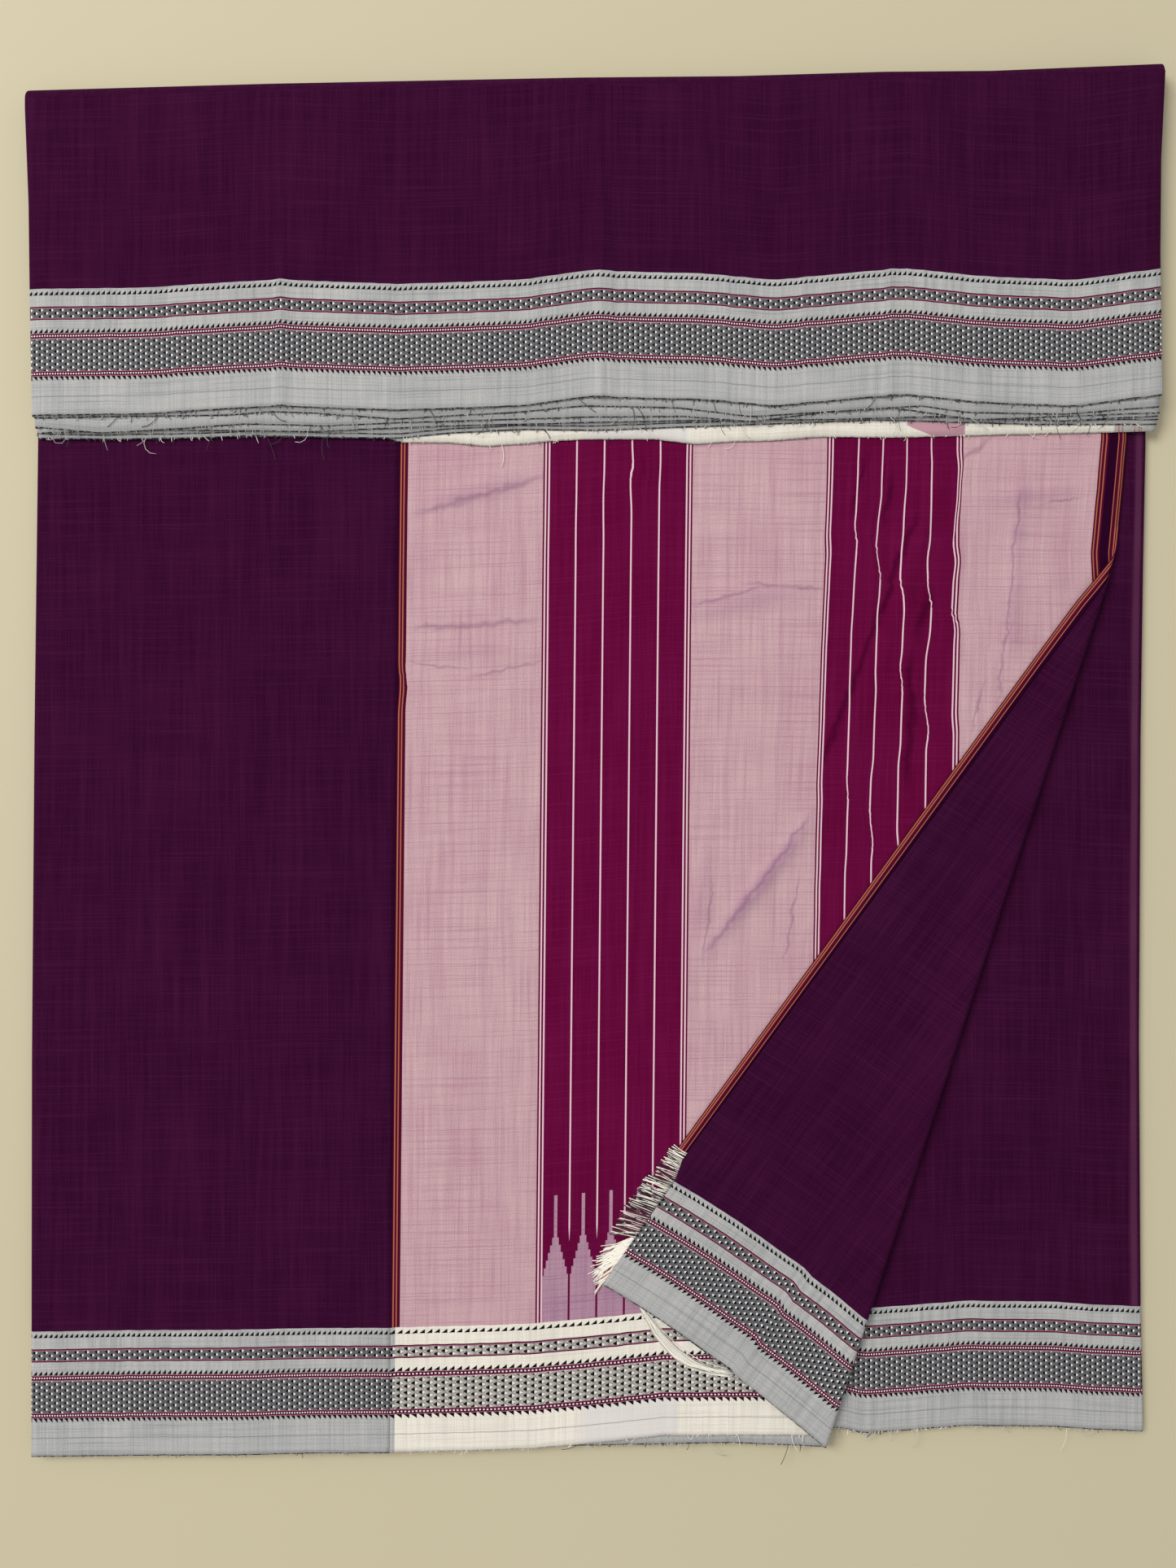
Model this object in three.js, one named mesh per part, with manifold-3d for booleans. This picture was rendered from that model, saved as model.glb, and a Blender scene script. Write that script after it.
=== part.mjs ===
// A cotton saree, folded in half three times and laid flat, its upper fifth turned down over the front
// and the corner of its two upper layers turned over to the left. Millimetres, +Z up. X runs along the
// length of the cloth, Y across its width, and the ground it lies on is Z = 0.
import * as THREE from "three";
import { mergeVertices } from "three/addons/utils/BufferGeometryUtils.js";
import Module from "manifold-3d";

const wasm = await Module();
wasm.setup();

// Cloth: the wall of one layer and the air between two.
const wall = 1;
const gap = 0.3;
const step = wall + gap;

// Height of the middle of each layer that shows, from the ground up.
const backHeight = wall / 2;
const innerTop = 5;
const rightHeight = innerTop + gap + wall / 2;
const endHeight = rightHeight + step;
const topHeight = endHeight + step;
const turnedHeight = topHeight + step;
const innerLegBottom = turnedHeight + wall / 2 + gap;
const innerLegTop = 15;
const outerHeight = innerLegTop + gap + wall / 2;

// Named-column tables, and a line through two of their columns.
const named = (names, row) => Object.fromEntries(names.map((name, i) => [name, row[i]]));
const table = (names, ...rows) => rows.map((row) => named(names, row));
const lerp = THREE.MathUtils.lerp;
const smooth = THREE.MathUtils.smoothstep;

function line(rows, from, to) {
  return (at) => {
    const last = rows.length - 1;
    if (at <= rows[0][from]) return rows[0][to];
    if (at >= rows[last][from]) return rows[last][to];
    const i = rows.findIndex((row) => row[from] > at);
    const share = (at - rows[i - 1][from]) / (rows[i][from] - rows[i - 1][from]);
    return lerp(rows[i - 1][to], rows[i][to], share);
  };
}

// Outlines of the folded stack.
const sideLine = (...rows) => line(table(["y", "x"], ...rows), "y", "x");
const crossLine = (...rows) => line(table(["x", "y"], ...rows), "x", "y");
const leftEdge = sideLine([-496, -401], [-213, -400.6], [18, -398.8], [226, -396.2]);
const rightEdge = sideLine(
  [-480, 390.7], [-398, 389], [-202, 387.8], [18, 389], [134, 390.7], [226, 392.5]);
const topHem = crossLine(
  [-401, -496.5], [-149, -493.6], [-44, -491], [-9, -487.8], [48, -481.5], [149, -481.5]);
const endHem = crossLine([-401, -491], [-53, -490], [16, -488.6], [97, -487], [161, -489.5]);
const rightHem = crossLine(
  [-385, -486], [100, -477], [176, -477], [191, -481], [266, -475.7], [328, -476.3], [391, -479.7]);
const hiddenHem = crossLine([-400, -488], [100, -484], [180, -473], [391, -473]);
const palluStart = sideLine([-495, -141.6], [-386, -140.7], [133, -135.8], [226, -134.7]);

// Outlines of the part turned down at the top: its upper fold, its two sides and its selvedge.
const foldTop = crossLine(
  [-402, 472.6], [-231, 477.5], [-10, 481.9], [100, 482.9], [205, 486], [280, 486.6], [402, 491.6]);
const foldLeft = sideLine([240, -397], [330, -398.6], [400, -399.4], [472, -402]);
const foldRight = sideLine([240, 399.5], [345, 398], [415, 398.6], [490, 402]);
const foldCorner = 472;
const outerSelvedge = crossLine(
  [-396, 240.4], [-314, 241.6], [-221, 247.3], [-140, 243.7], [-48, 247.5], [-6, 253.2], [74, 251.8],
  [126, 246.7], [190, 253], [220, 254.9], [271, 249.5], [337, 246.7], [398, 254.8]);
const lowestSelvedge = crossLine(
  [-396, 227.6], [-145, 227], [-130, 224.6], [-6, 227.2], [204, 229], [256, 231], [400, 233]);
const tuckEnd = 286;
const foldThickness = outerHeight + wall / 2;
const foldTail = 18;

// Heights, at the turned-down part, of the layers whose selvedges step out under the outer one.
const selvedgeSteps = table(
  ["bottom", "top", "drop"], [innerLegBottom, 12.2, 15.5], [12.1, 13.7, 10.5], [13.6, innerLegTop, 5.5]);
const hemSteps = table(["bottom", "top", "rise"], [wall + gap, 2.5, 1], [2.4, 3.8, 4], [3.7, innerTop, 2]);

// The slanting line about which the two upper layers turn over, from its upper point to the hem.
const turnTop = new THREE.Vector2(369.9, 145.1);
const turnBottom = new THREE.Vector2(163, -490.7);
const alongTurn = turnBottom.clone().sub(turnTop).normalize();
const acrossTurn = new THREE.Vector2(-alongTurn.y, alongTurn.x);
const endRadius = 3.2;
const topRadius = endRadius - step - 0.08;
const turnCentre = -wall / 2 - endRadius;
const turnCentreHeight = endHeight + endRadius;
const settleLength = 26;
const topEnd = sideLine([-396, 373], [-378, 372.4], [100, 372.4], [145, 370], [226, 377.4]);
const innerEnd = sideLine([-486, 363.1], [-400, 364.5], [-385, 369.1], [145, 367], [226, 372]);
const turnedEndLine = { point: new THREE.Vector2(58.4, -276.1), across: new THREE.Vector2(0.808, -0.589) };

// The largest creases and soft folds of the pallu and the body, each a ridge along a line.
const ridges = table(["x1", "y1", "x2", "y2", "width", "height"],
  [157, -40, 77, -141, 9, 2.2], [80, -46, 74, -127, 8, 1.3], [-131, 176, -39, 201, 11, 1.4],
  [-134, 76, -40, 74, 9, 1], [68, 108, 163, 119, 10, 1.5], [65, 50, 160, 48, 9, 1],
  [262, 206, 300, 226, 10, 1.6], [261, 180, 355, 191, 10, 1.3], [303, 192, 294, 42, 10, 1.5],
  [243, 196, 196, 40, 11, 2.2], [217, 160, 230, 30, 9, 1.7], [186, 210, 205, 70, 10, 1.8],
  [28, 222, 40, 205, 9, 1.6], [-157, 74, -156, 18, 7, 1.4], [-352, 200, -348, -120, 10, 1.1],
  [-148, -20, -148, -300, 6, 0.8]);
const foldCreases = table(["x", "width", "height", "reach"],
  [-221, 7, 1.6, 0.7], [4, 9, 2.4, 1], [207, 8, 2, 0.8],
  [-292, 7, 0.8, 0.5], [-148, 7, 0.9, 0.5], [377, 6, 0.9, 0.6]);

// How high a crease lifts the cloth at a point: a bell across its line that fades at both ends.
function ridge(x, y, { x1, y1, x2, y2, width, height }) {
  const run = new THREE.Vector2(x2 - x1, y2 - y1);
  const offset = new THREE.Vector2(x - x1, y - y1);
  const along = THREE.MathUtils.clamp(offset.dot(run) / run.lengthSq(), 0, 1);
  const away = offset.addScaledVector(run, -along).length();
  const fade = 0.35 + 0.65 * Math.sin(Math.PI * along);
  return height * fade * Math.exp(-((away / width) ** 2));
}

// Lift of the top layer: all its creases, gone where the turned-down part or the turned corner lies on it.
function topLift(x, y) {
  const lift = ridges.reduce((sum, row) => sum + ridge(x, y, row), 0);
  const underFold = 1 - smooth(y, 196, 214);
  const pastEnd = new THREE.Vector2(x, y).sub(turnedEndLine.point).dot(turnedEndLine.across);
  return lift * underFold * (1 - smooth(pastEnd, -34, -22));
}

// Faces of one closed body from a grid of places, each with its outward side and its inner side.
function shell(name, place, columnCount, rowCount, material) {
  const positions = [];
  const index = [];
  const stride = columnCount * rowCount;
  for (const side of [0.5, -0.5])
    for (let r = 0; r < rowCount; r++)
      for (let c = 0; c < columnCount; c++) {
        const { middle, normal } = place(c, r);
        positions.push(...middle.clone().addScaledVector(normal, side * wall).toArray());
      }
  const quad = (a, b, c, d) => index.push(a, b, c, a, c, d);
  for (let r = 0; r + 1 < rowCount; r++)
    for (let c = 0; c + 1 < columnCount; c++) {
      const at = r * columnCount + c;
      quad(at, at + 1, at + columnCount + 1, at + columnCount);
      quad(stride + at + columnCount, stride + at + columnCount + 1, stride + at + 1, stride + at);
    }
  const rim = [];
  for (let c = 0; c < columnCount; c++) rim.push(c);
  for (let r = 1; r < rowCount; r++) rim.push(r * columnCount + columnCount - 1);
  for (let c = columnCount - 2; c >= 0; c--) rim.push((rowCount - 1) * columnCount + c);
  for (let r = rowCount - 2; r > 0; r--) rim.push(r * columnCount);
  rim.forEach((a, i) => {
    const b = rim[(i + 1) % rim.length];
    quad(b, a, stride + a, stride + b);
  });
  return mesh(name, closed(positions, index), material);
}

// Vertices that coincide become one, triangles that shrank to a line go, and the faces point outwards.
function closed(positions, index) {
  const loose = new THREE.BufferGeometry();
  loose.setAttribute("position", new THREE.Float32BufferAttribute(positions, 3));
  loose.setIndex(index);
  const merged = mergeVertices(loose, 1e-3);
  const at = merged.attributes.position;
  const from = merged.index.array;
  const kept = [];
  let volume = 0;
  const corner = [new THREE.Vector3(), new THREE.Vector3(), new THREE.Vector3()];
  for (let i = 0; i < from.length; i += 3) {
    const [a, b, c] = [from[i], from[i + 1], from[i + 2]];
    if (a === b || b === c || c === a) continue;
    kept.push(a, b, c);
    [a, b, c].forEach((v, k) => corner[k].fromBufferAttribute(at, v));
    volume += corner[0].dot(corner[1].clone().cross(corner[2]));
  }
  merged.setIndex(volume < 0 ? kept.reverse() : kept);
  return merged;
}

function mesh(name, geometry, material) {
  geometry.computeVertexNormals();
  const made = new THREE.Mesh(geometry, material);
  made.name = name;
  return made;
}

// Solids joined or cut.
function solid(geometry) {
  const bare = geometry.clone();
  bare.deleteAttribute("normal");
  bare.deleteAttribute("uv");
  const merged = mergeVertices(bare, 1e-4);
  const vertProperties = merged.attributes.position.array;
  const triVerts = new Uint32Array(merged.index.array);
  return new wasm.Manifold(new wasm.Mesh({ numProp: 3, vertProperties, triVerts }));
}

function geometryOf(body) {
  const made = body.getMesh();
  const geometry = new THREE.BufferGeometry();
  geometry.setAttribute("position", new THREE.BufferAttribute(made.vertProperties, 3));
  geometry.setIndex(new THREE.BufferAttribute(made.triVerts, 1));
  return geometry;
}

const cotton = (color) => new THREE.MeshStandardMaterial({ color, roughness: 0.85, metalness: 0 });
const plum = cotton(0x380a2c);
const greyBorder = cotton(0xa9a8a6);
const pink = cotton(0xc09ba1);
const cream = cotton(0xe9e3d5);

// Columns across a layer whose side edges turn under it: each knows its place from the two edges, its
// depth below the surface and its outward direction, sideways and up.
function crossing({ leftDepth = 0, rightDepth = 0, leg = 6, shares }) {
  const columns = [];
  const arc = 4;
  const turn = (depth, side) => {
    const radius = depth / 2;
    const around = [{ in: radius + leg, depth, sideways: 0, up: -1 }];
    for (let k = arc; k >= 0; k--) {
      const angle = (Math.PI * k) / arc;
      around.push({
        in: radius - radius * Math.sin(angle), depth: radius - radius * Math.cos(angle),
        sideways: side * Math.sin(angle), up: Math.cos(angle),
      });
    }
    return around;
  };
  const left = leftDepth > 0 ? turn(leftDepth, -1) : [{ in: 0, depth: 0, sideways: 0, up: 1 }];
  const right = rightDepth > 0 ? turn(rightDepth, 1) : [{ in: 0, depth: 0, sideways: 0, up: 1 }];
  const inset = wall / 2;
  for (const at of left)
    columns.push({ ...at, x: (from, to) => from + (leftDepth > 0 ? inset : 0) + at.in });
  const flatLeft = left.at(-1).in;
  const flatRight = right.at(-1).in;
  for (const share of shares)
    columns.push({
      depth: 0, sideways: 0, up: 1, x: (from, to) => lerp(from + flatLeft, to - flatRight, share),
    });
  for (const at of right.reverse())
    columns.push({ ...at, x: (from, to) => to - (rightDepth > 0 ? inset : 0) - at.in });
  return columns;
}

const shareList = (count) => Array.from({ length: count }, (_, i) => (i + 1) / (count + 1));

// Rows lie at the same Y in every layer, but for those near the bottom, which bend to the layer's own hem.
const hemLine = -490;
const hemReach = 150;
const evenRows = (count, end = tuckEnd) =>
  Array.from({ length: count }, (_, i) => lerp(hemLine, end, i / (count - 1)));

function bendToHem(rowY, hem, x) {
  const bend = Math.max(0, 1 - (rowY - hemLine) / hemReach);
  return rowY + (hem(x) - hemLine) * bend;
}

// A flat layer: rows run from its hem up to where it is tucked in or ends.
function flatLayer(name, spec, material) {
  const { columns, rows, hem, end, from, to, height, facing = 1, lift = () => 0 } = spec;
  const place = (c, r) => {
    const column = columns[c];
    const x = column.x(from(rows[r]), to(rows[r]));
    const last = end && r === rows.length - 1;
    const y = last ? end(x) : bendToHem(rows[r], hem, x);
    const z = height + lift(x, y) - facing * column.depth;
    return {
      middle: new THREE.Vector3(x, y, z),
      normal: new THREE.Vector3(column.sideways, 0, facing * column.up),
    };
  };
  return shell(name, place, columns.length, rows.length, material);
}

// The outermost layer on the ground, with its two side edges turned up round the lower layers.
function backLayer() {
  const columns = crossing({ leftDepth: 2.7, rightDepth: 1.3, shares: shareList(5) });
  const end = (x) => foldTop(x) - foldThickness / 2 - foldTail - 4 * gap;
  const spec = {
    columns, rows: evenRows(8, 440), hem: hiddenHem, end, from: leftEdge, to: rightEdge,
    height: backHeight, facing: -1,
  };
  return flatLayer("back_layer", spec, plum);
}

// The stretch that shows at the right, whose right edge turns under.
function rightStretch() {
  const columns = crossing({ rightDepth: 2.7, shares: shareList(11) });
  const spec = {
    columns, rows: evenRows(10), hem: rightHem, from: () => -385, to: rightEdge, height: rightHeight,
  };
  return flatLayer("right_stretch", spec, plum);
}

// The body stretch at the left, whose left edge turns under down to the fourth layer.
function bodyStretch() {
  const columns = crossing({ leftDepth: 3.9, shares: shareList(11) });
  const to = (y) => palluStart(y) - gap / 2;
  const spec = {
    columns, rows: evenRows(18), hem: topHem, from: leftEdge, to, height: topHeight, lift: topLift,
  };
  return flatLayer("body_stretch", spec, plum);
}

// The layer under the turned-down part: its border, cream beside the pallu, steps out below the rest.
function turnedBorder() {
  const columns = crossing({ shares: shareList(17) });
  const rows = [0, 0.35, 0.7, 1];
  const place = (c, r) => {
    const x = columns[c].x(-396, 400);
    const middle = new THREE.Vector3(x, lerp(lowestSelvedge(x), tuckEnd, rows[r]), turnedHeight);
    return { middle, normal: new THREE.Vector3(0, 0, 1) };
  };
  return shell("turned_border", place, columns.length, rows.length, cream);
}

// Where a point of the flat cloth goes when the cloth turns over the slanting line: flat before it, round
// a half turn of the given radius, then back over itself, settling from the swollen turn to its height.
function turnOver(x, y, radius, height, settledHeight, lift) {
  const point = new THREE.Vector2(x, y).sub(turnTop);
  const beyond = point.dot(acrossTurn) - turnCentre;
  const along = point.dot(alongTurn);
  const arc = Math.PI * radius;
  const on = (distance, z, sideways, up) => {
    const flat = turnTop.clone().addScaledVector(alongTurn, along);
    flat.addScaledVector(acrossTurn, turnCentre + distance);
    return {
      middle: new THREE.Vector3(flat.x, flat.y, z),
      normal: new THREE.Vector3(acrossTurn.x * sideways, acrossTurn.y * sideways, up),
    };
  };
  if (beyond <= 0) return on(beyond, height + lift(x, y), 0, 1);
  if (beyond <= arc) {
    const [sin, cos] = [Math.sin(beyond / radius), Math.cos(beyond / radius)];
    return on(radius * sin, turnCentreHeight - radius * cos, -sin, cos);
  }
  const back = beyond - arc;
  const swollen = turnCentreHeight + radius;
  return on(-back, lerp(swollen, settledHeight, smooth(back, 0, settleLength)), 0, -1);
}

// A layer that lies flat up to the slanting line and turns over it. Columns reach from the start edge to
// the line, round the turn, and on to the end edge; above the turn they meet at the end edge.
const turnRows = [
  -490, -470, -450, -420, -385, -350, -315, -280, -245, -210, -175, -140, -105, -70, -35, -5, 22,
  44, 60, 76, 92, 106, 118, 128, 138, 148, 158, 168, 182, 198, 214, 240, tuckEnd];

function turnedLayer(name, spec, material) {
  const { start, end, hem, radius, height, settledHeight, flatShares, lift } = spec;
  const arcSteps = 4;
  const settleSteps = 3;
  const turnedShares = [0.33, 0.67, 1];
  const arc = Math.PI * radius;
  const distances = [];
  for (let k = 0; k <= arcSteps; k++) distances.push((arc * k) / arcSteps);
  for (let k = 1; k <= settleSteps; k++) distances.push(arc + (settleLength * k) / settleSteps);
  const afterFlat = flatShares.length;
  const afterBend = afterFlat + distances.length;
  const count = afterBend + turnedShares.length;
  const place = (c, r) => {
    const rowY = turnRows[r];
    const edge = end(rowY);
    const bendAt = (distance) => {
      const x = turnTop.x + (turnCentre + distance - (rowY - turnTop.y) * acrossTurn.y) / acrossTurn.x;
      return Math.min(x, edge);
    };
    let x;
    if (c < afterFlat) x = lerp(start(rowY), bendAt(0), flatShares[c]);
    else if (c < afterBend) x = bendAt(distances[c - afterFlat]);
    else x = lerp(bendAt(distances.at(-1)), edge, turnedShares[c - afterBend]);
    return turnOver(x, bendToHem(rowY, hem, x), radius, height, settledHeight, lift);
  };
  return shell(name, place, count, turnRows.length, material);
}

// The saree's plain inner end: hidden under the pallu but for its corner, which turns over with its
// underside up and shows its border.
function innerEndLayer() {
  const spec = {
    start: () => -380, end: innerEnd, hem: endHem, radius: endRadius, height: endHeight,
    settledHeight: turnedHeight + step, flatShares: [0, 0.5], lift: () => 0,
  };
  return turnedLayer("inner_end", spec, plum);
}

// The pallu, from where the body ends to the end of the cloth. Its lower corner is turned in with the
// inner end.
function pallu() {
  const flatShares = [0, ...shareList(17)];
  const spec = {
    start: (y) => palluStart(y) + gap / 2, end: topEnd, hem: topHem, radius: topRadius, height: topHeight,
    settledHeight: turnedHeight, flatShares, lift: topLift,
  };
  return turnedLayer("pallu", spec, pink);
}

// The outer layer where it shows: from its selvedge up over the turned-down part, round the upper fold and
// a little way under the stack, with its sides turned in and its crease lines standing up.
function outerFold() {
  const bendRadius = (outerHeight - backHeight) / 2;
  const bendHeight = (outerHeight + backHeight) / 2;
  const flatRows = 7;
  const bendRows = 6;
  const creaseColumns = foldCreases.flatMap(({ x, width }) => [x - 1.6 * width, x, x + 1.6 * width]);
  const plain = [-350, -260, -180, -100, -50, 50, 110, 160, 250, 300, 340];
  const [sideLeft, sideRight] = [-397, 398];
  const shares = [...creaseColumns, ...plain]
    .sort((a, b) => a - b)
    .map((x) => (x - sideLeft) / (sideRight - sideLeft));
  const liftAt = (x, share) => foldCreases.reduce((sum, crease) => {
    const across = Math.exp(-(((x - crease.x) / crease.width) ** 2));
    return sum + crease.height * across * (1 - smooth(share, crease.reach * 0.5, crease.reach));
  }, 0);
  const columns = crossing({ leftDepth: 3.7, rightDepth: 1.4, leg: 5, shares });
  const place = (c, r) => {
    const column = columns[c];
    const share = Math.min(r / (flatRows - 1), 1);
    const roughY = lerp(240, 480, share);
    const x = column.x(foldLeft(roughY), foldRight(roughY));
    const bendY = foldTop(x) - foldThickness / 2;
    if (r < flatRows) {
      const y = lerp(outerSelvedge(x), bendY, share);
      const lift = column.depth > 0 ? 0 : liftAt(x, share);
      return {
        middle: new THREE.Vector3(x, y, outerHeight - column.depth + lift),
        normal: new THREE.Vector3(column.sideways, 0, column.up),
      };
    }
    const turned = Math.min((r - flatRows + 1) / bendRows, 1);
    const angle = Math.PI * turned;
    const out = new THREE.Vector3(0, Math.sin(angle), Math.cos(angle));
    const back = r === flatRows + bendRows ? foldTail : 0;
    const middle = new THREE.Vector3(x, bendY - back, bendHeight);
    middle.addScaledVector(out, bendRadius - column.depth);
    return { middle, normal: new THREE.Vector3(column.sideways, out.y * column.up, out.z * column.up) };
  };
  return shell("outer_fold", place, columns.length, flatRows + bendRows + 1, plum);
}

// A closed body through sections of equally many points, given as rings of vectors, with flat ends.
function loft(rings) {
  const count = rings[0].length;
  const positions = rings.flat().flatMap((p) => p.toArray());
  const index = [];
  for (let r = 0; r + 1 < rings.length; r++)
    for (let i = 0; i < count; i++) {
      const next = (i + 1) % count;
      const [a, b] = [r * count + i, r * count + next];
      index.push(a, b, b + count, a, b + count, a + count);
    }
  const cap = THREE.ShapeUtils.triangulateShape(rings[0].map((p) => new THREE.Vector2(p.x, p.z)), []);
  const last = (rings.length - 1) * count;
  for (const [a, b, c] of cap) {
    index.push(a, c, b);
    index.push(last + a, last + b, last + c);
  }
  return closed(positions, index);
}

// A thin plate whose lower edge follows a selvedge line, from one side of the stack to the other.
function plate({ edge, drop, end, bottom, top, from, to }) {
  const stations = 14;
  const shape = new THREE.Shape();
  for (let i = 0; i <= stations; i++) {
    const x = lerp(from, to, i / stations);
    const wave = 0.8 * Math.sin(x / 31 + bottom);
    if (i === 0) shape.moveTo(x, edge(x) - drop + wave);
    else shape.lineTo(x, edge(x) - drop + wave);
  }
  shape.lineTo(to, end);
  shape.lineTo(from, end);
  const geometry = new THREE.ExtrudeGeometry(shape, { depth: top - bottom, bevelEnabled: false });
  return geometry.translate(0, 0, bottom);
}

// The layers that don't show, as one rounded body: the panel part lies between the turned side edges of the
// visible layers, the folded part fills the turned-down fifth, and both step where their edges show.
function innerLayers() {
  const bottom = backHeight + wall / 2 + gap;
  const clear = 1.9;
  const tucked = 10.5;
  const panelSection = (y) => {
    const [left, right] = [leftEdge(y), rightEdge(y)];
    const [leftTop, rightBottom] = [2.4, 3.9];
    return [
      [left + 2, bottom], [right - tucked, bottom], [right - tucked, rightBottom],
      [right - 2.8, rightBottom], [right - clear, rightBottom + 0.6], [right - 2.8, innerTop],
      [left + tucked, innerTop], [left + tucked, leftTop], [left + 2, leftTop],
      [left + clear, leftTop - 0.6],
    ].map(([x, z]) => new THREE.Vector3(x, y, z));
  };
  const panel = solid(loft([-470, -300, -100, 100, 226, 400, 450].map(panelSection)));
  const middle = (bottom + innerLegTop) / 2;
  const halfHeight = (innerLegTop - bottom) / 2;
  const bendReach = 6.5;
  const slack = 1.9;
  // A section across the folded part, as far before or past the start of its bend as asked. Its points
  // go round from the lower left. Each says how far in it lies and its height, in half thicknesses.
  const foldSection = (y, past) => {
    const bent = past !== undefined;
    const sideY = Math.min(y, foldCorner);
    const [left, right] = [foldLeft(sideY), foldRight(sideY)];
    const reach = bent ? Math.sqrt(bendReach ** 2 - Math.max(past, 0) ** 2) : halfHeight;
    return [
      [left + 15, -1], [right - 18, -1], [right - 18, -0.8], [right - 8, -0.75], [right - 1.6, -0.62],
      [right - 0.9, -0.4], [right - 2.8, -0.16], [right - 0.8, 0.1], [right - 0.8, 0.5],
      [right - 2, 0.66], [right - 8.5, 0.72], [right - 8.5, 1], [left + 9, 1], [left + 9, 0.44],
      [left + 1.4, 0.36], [left + 0.8, 0.14], [left + 2.8, -0.04], [left + 1, -0.2],
      [left + 1.2, -0.42], [left + 15, -0.44],
    ].map(([x, height]) => {
      const held = bent ? THREE.MathUtils.clamp(x, left + 12, right - 18) : x;
      const placeY = bent ? foldTop(held) - foldThickness / 2 + past - slack : y;
      return new THREE.Vector3(held, placeY, middle + height * reach);
    });
  };
  const bends = [-24, 0, 3.2, 5.4].map((past) => foldSection(foldCorner, past));
  const folded = solid(loft([290, 360, 438].map((y) => foldSection(y)).concat(bends)));
  const selvedgeSpec = { edge: outerSelvedge, end: 300, from: -387, to: 388 };
  const hemSpec = { edge: hiddenHem, end: -460, from: -388, to: 378 };
  const steps = [
    ...selvedgeSteps.map((row) => ({ ...row, ...selvedgeSpec })),
    ...hemSteps.map((row) => ({ ...row, ...hemSpec, drop: -row.rise })),
  ].map((row) => solid(plate(row)));
  const joined = steps.reduce((sum, piece) => sum.add(piece), panel.add(folded));
  return mesh("inner_layers", geometryOf(joined), greyBorder);
}

// A strand of twisted yarn: a thin bar of three sides along a curve.
function strand(points, width) {
  const around = 3;
  const section = new THREE.Shape();
  for (let k = 0; k < around; k++) {
    const angle = (2 * Math.PI * k) / around;
    const [x, y] = [(width / 2) * Math.cos(angle), (width / 2) * Math.sin(angle)];
    if (k === 0) section.moveTo(x, y);
    else section.lineTo(x, y);
  }
  const path = new THREE.CatmullRomCurve3(points);
  return new THREE.ExtrudeGeometry(section, { steps: 3, bevelEnabled: false, extrudePath: path });
}

// A narrow strip between two points of the plane, at a height.
function strip(from, to, width, height, thickness) {
  const length = from.distanceTo(to);
  const box = new THREE.BoxGeometry(length, width, thickness);
  box.rotateZ(Math.atan2(to.y - from.y, to.x - from.x));
  return box.translate((from.x + to.x) / 2, (from.y + to.y) / 2, height);
}

const strandWidth = 0.75;

// The knotted fringe along the border of the turned end, lying to the left on the pallu.
function endFringe() {
  const count = 50;
  const clear = 1.7;
  const edge = new THREE.Vector2(turnedEndLine.across.y, -turnedEndLine.across.x);
  const onEdge = (distance) => turnedEndLine.point.clone().addScaledVector(edge, distance)
    .addScaledVector(turnedEndLine.across, -clear);
  const [from, to] = [onEdge(3), onEdge(80)];
  const height = turnedHeight;
  let body = solid(strip(from, to, 1.6, height, 0.9));
  for (let i = 0; i < count; i++) {
    const share = (i + 0.5) / count;
    const root = from.clone().lerp(to, share);
    const length = lerp(12, 17, smooth(share, 0.2, 0.9)) * (1 + 0.12 * Math.sin(i * 2.4));
    const heading = Math.PI * (1.03 + 0.05 * Math.sin(share * 9));
    const at = (reach, droop) => new THREE.Vector3(
      root.x + Math.cos(heading) * reach, root.y + Math.sin(heading) * reach, height - droop);
    const curve = [at(-0.2, 0), at(length * 0.4, -0.3), at(length * 0.75, 0), at(length, 0.05)];
    body = body.add(solid(strand(curve, strandWidth)));
  }
  return mesh("end_fringe", geometryOf(body), cream);
}

// Loose cream warp threads that hang out in a bow from under the turned corner.
function warpThreads() {
  const count = 12;
  const rootFrom = new THREE.Vector2(24.5, -385.5);
  const rootTo = new THREE.Vector2(37, -394.5);
  let body = solid(strip(rootFrom, rootTo, 1.4, turnedHeight, 0.9));
  for (let i = 0; i < count; i++) {
    const share = (i + 0.5) / count;
    const root = rootFrom.clone().lerp(rootTo, share);
    const sag = lerp(14, 0, share);
    const points = table(["x", "y"], [0, 0], [4.5 - sag * 0.15, -14 - sag * 0.35],
      [22 - sag * 0.1, -28 - sag * 0.5], [53 - sag * 0.25, -40 - sag * 0.35]);
    const curve = points.map(({ x, y }, k) => new THREE.Vector3(
      root.x + x, root.y + y, turnedHeight - (k > 0 ? 0.05 : 0)));
    body = body.add(solid(strand(curve, strandWidth)));
  }
  return mesh("warp_threads", geometryOf(body), cream);
}

const saree = new THREE.Group();
saree.name = "saree";
saree.add(
  backLayer(), innerLayers(), rightStretch(), innerEndLayer(), bodyStretch(), pallu(), turnedBorder(),
  outerFold(), endFringe(), warpThreads());

// The origin is the middle of the whole at ground height.
const box = new THREE.Box3().setFromObject(saree);
saree.position.set(-(box.min.x + box.max.x) / 2, -(box.min.y + box.max.y) / 2, -box.min.z);

export default saree;
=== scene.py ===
# %% [markdown]
# # A folded cotton saree
#
# A saree is one long handwoven cloth. This one was folded in half three times, so eight layers lie on
# each other, then its upper fifth was turned down over the front, and one lower corner of the two upper
# layers was turned over to the left. Every layer here is a surface worked out with numpy from the way
# the cloth was folded, and every woven pattern is worked out from the place on the flat cloth.

# %% Frame
import math

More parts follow.
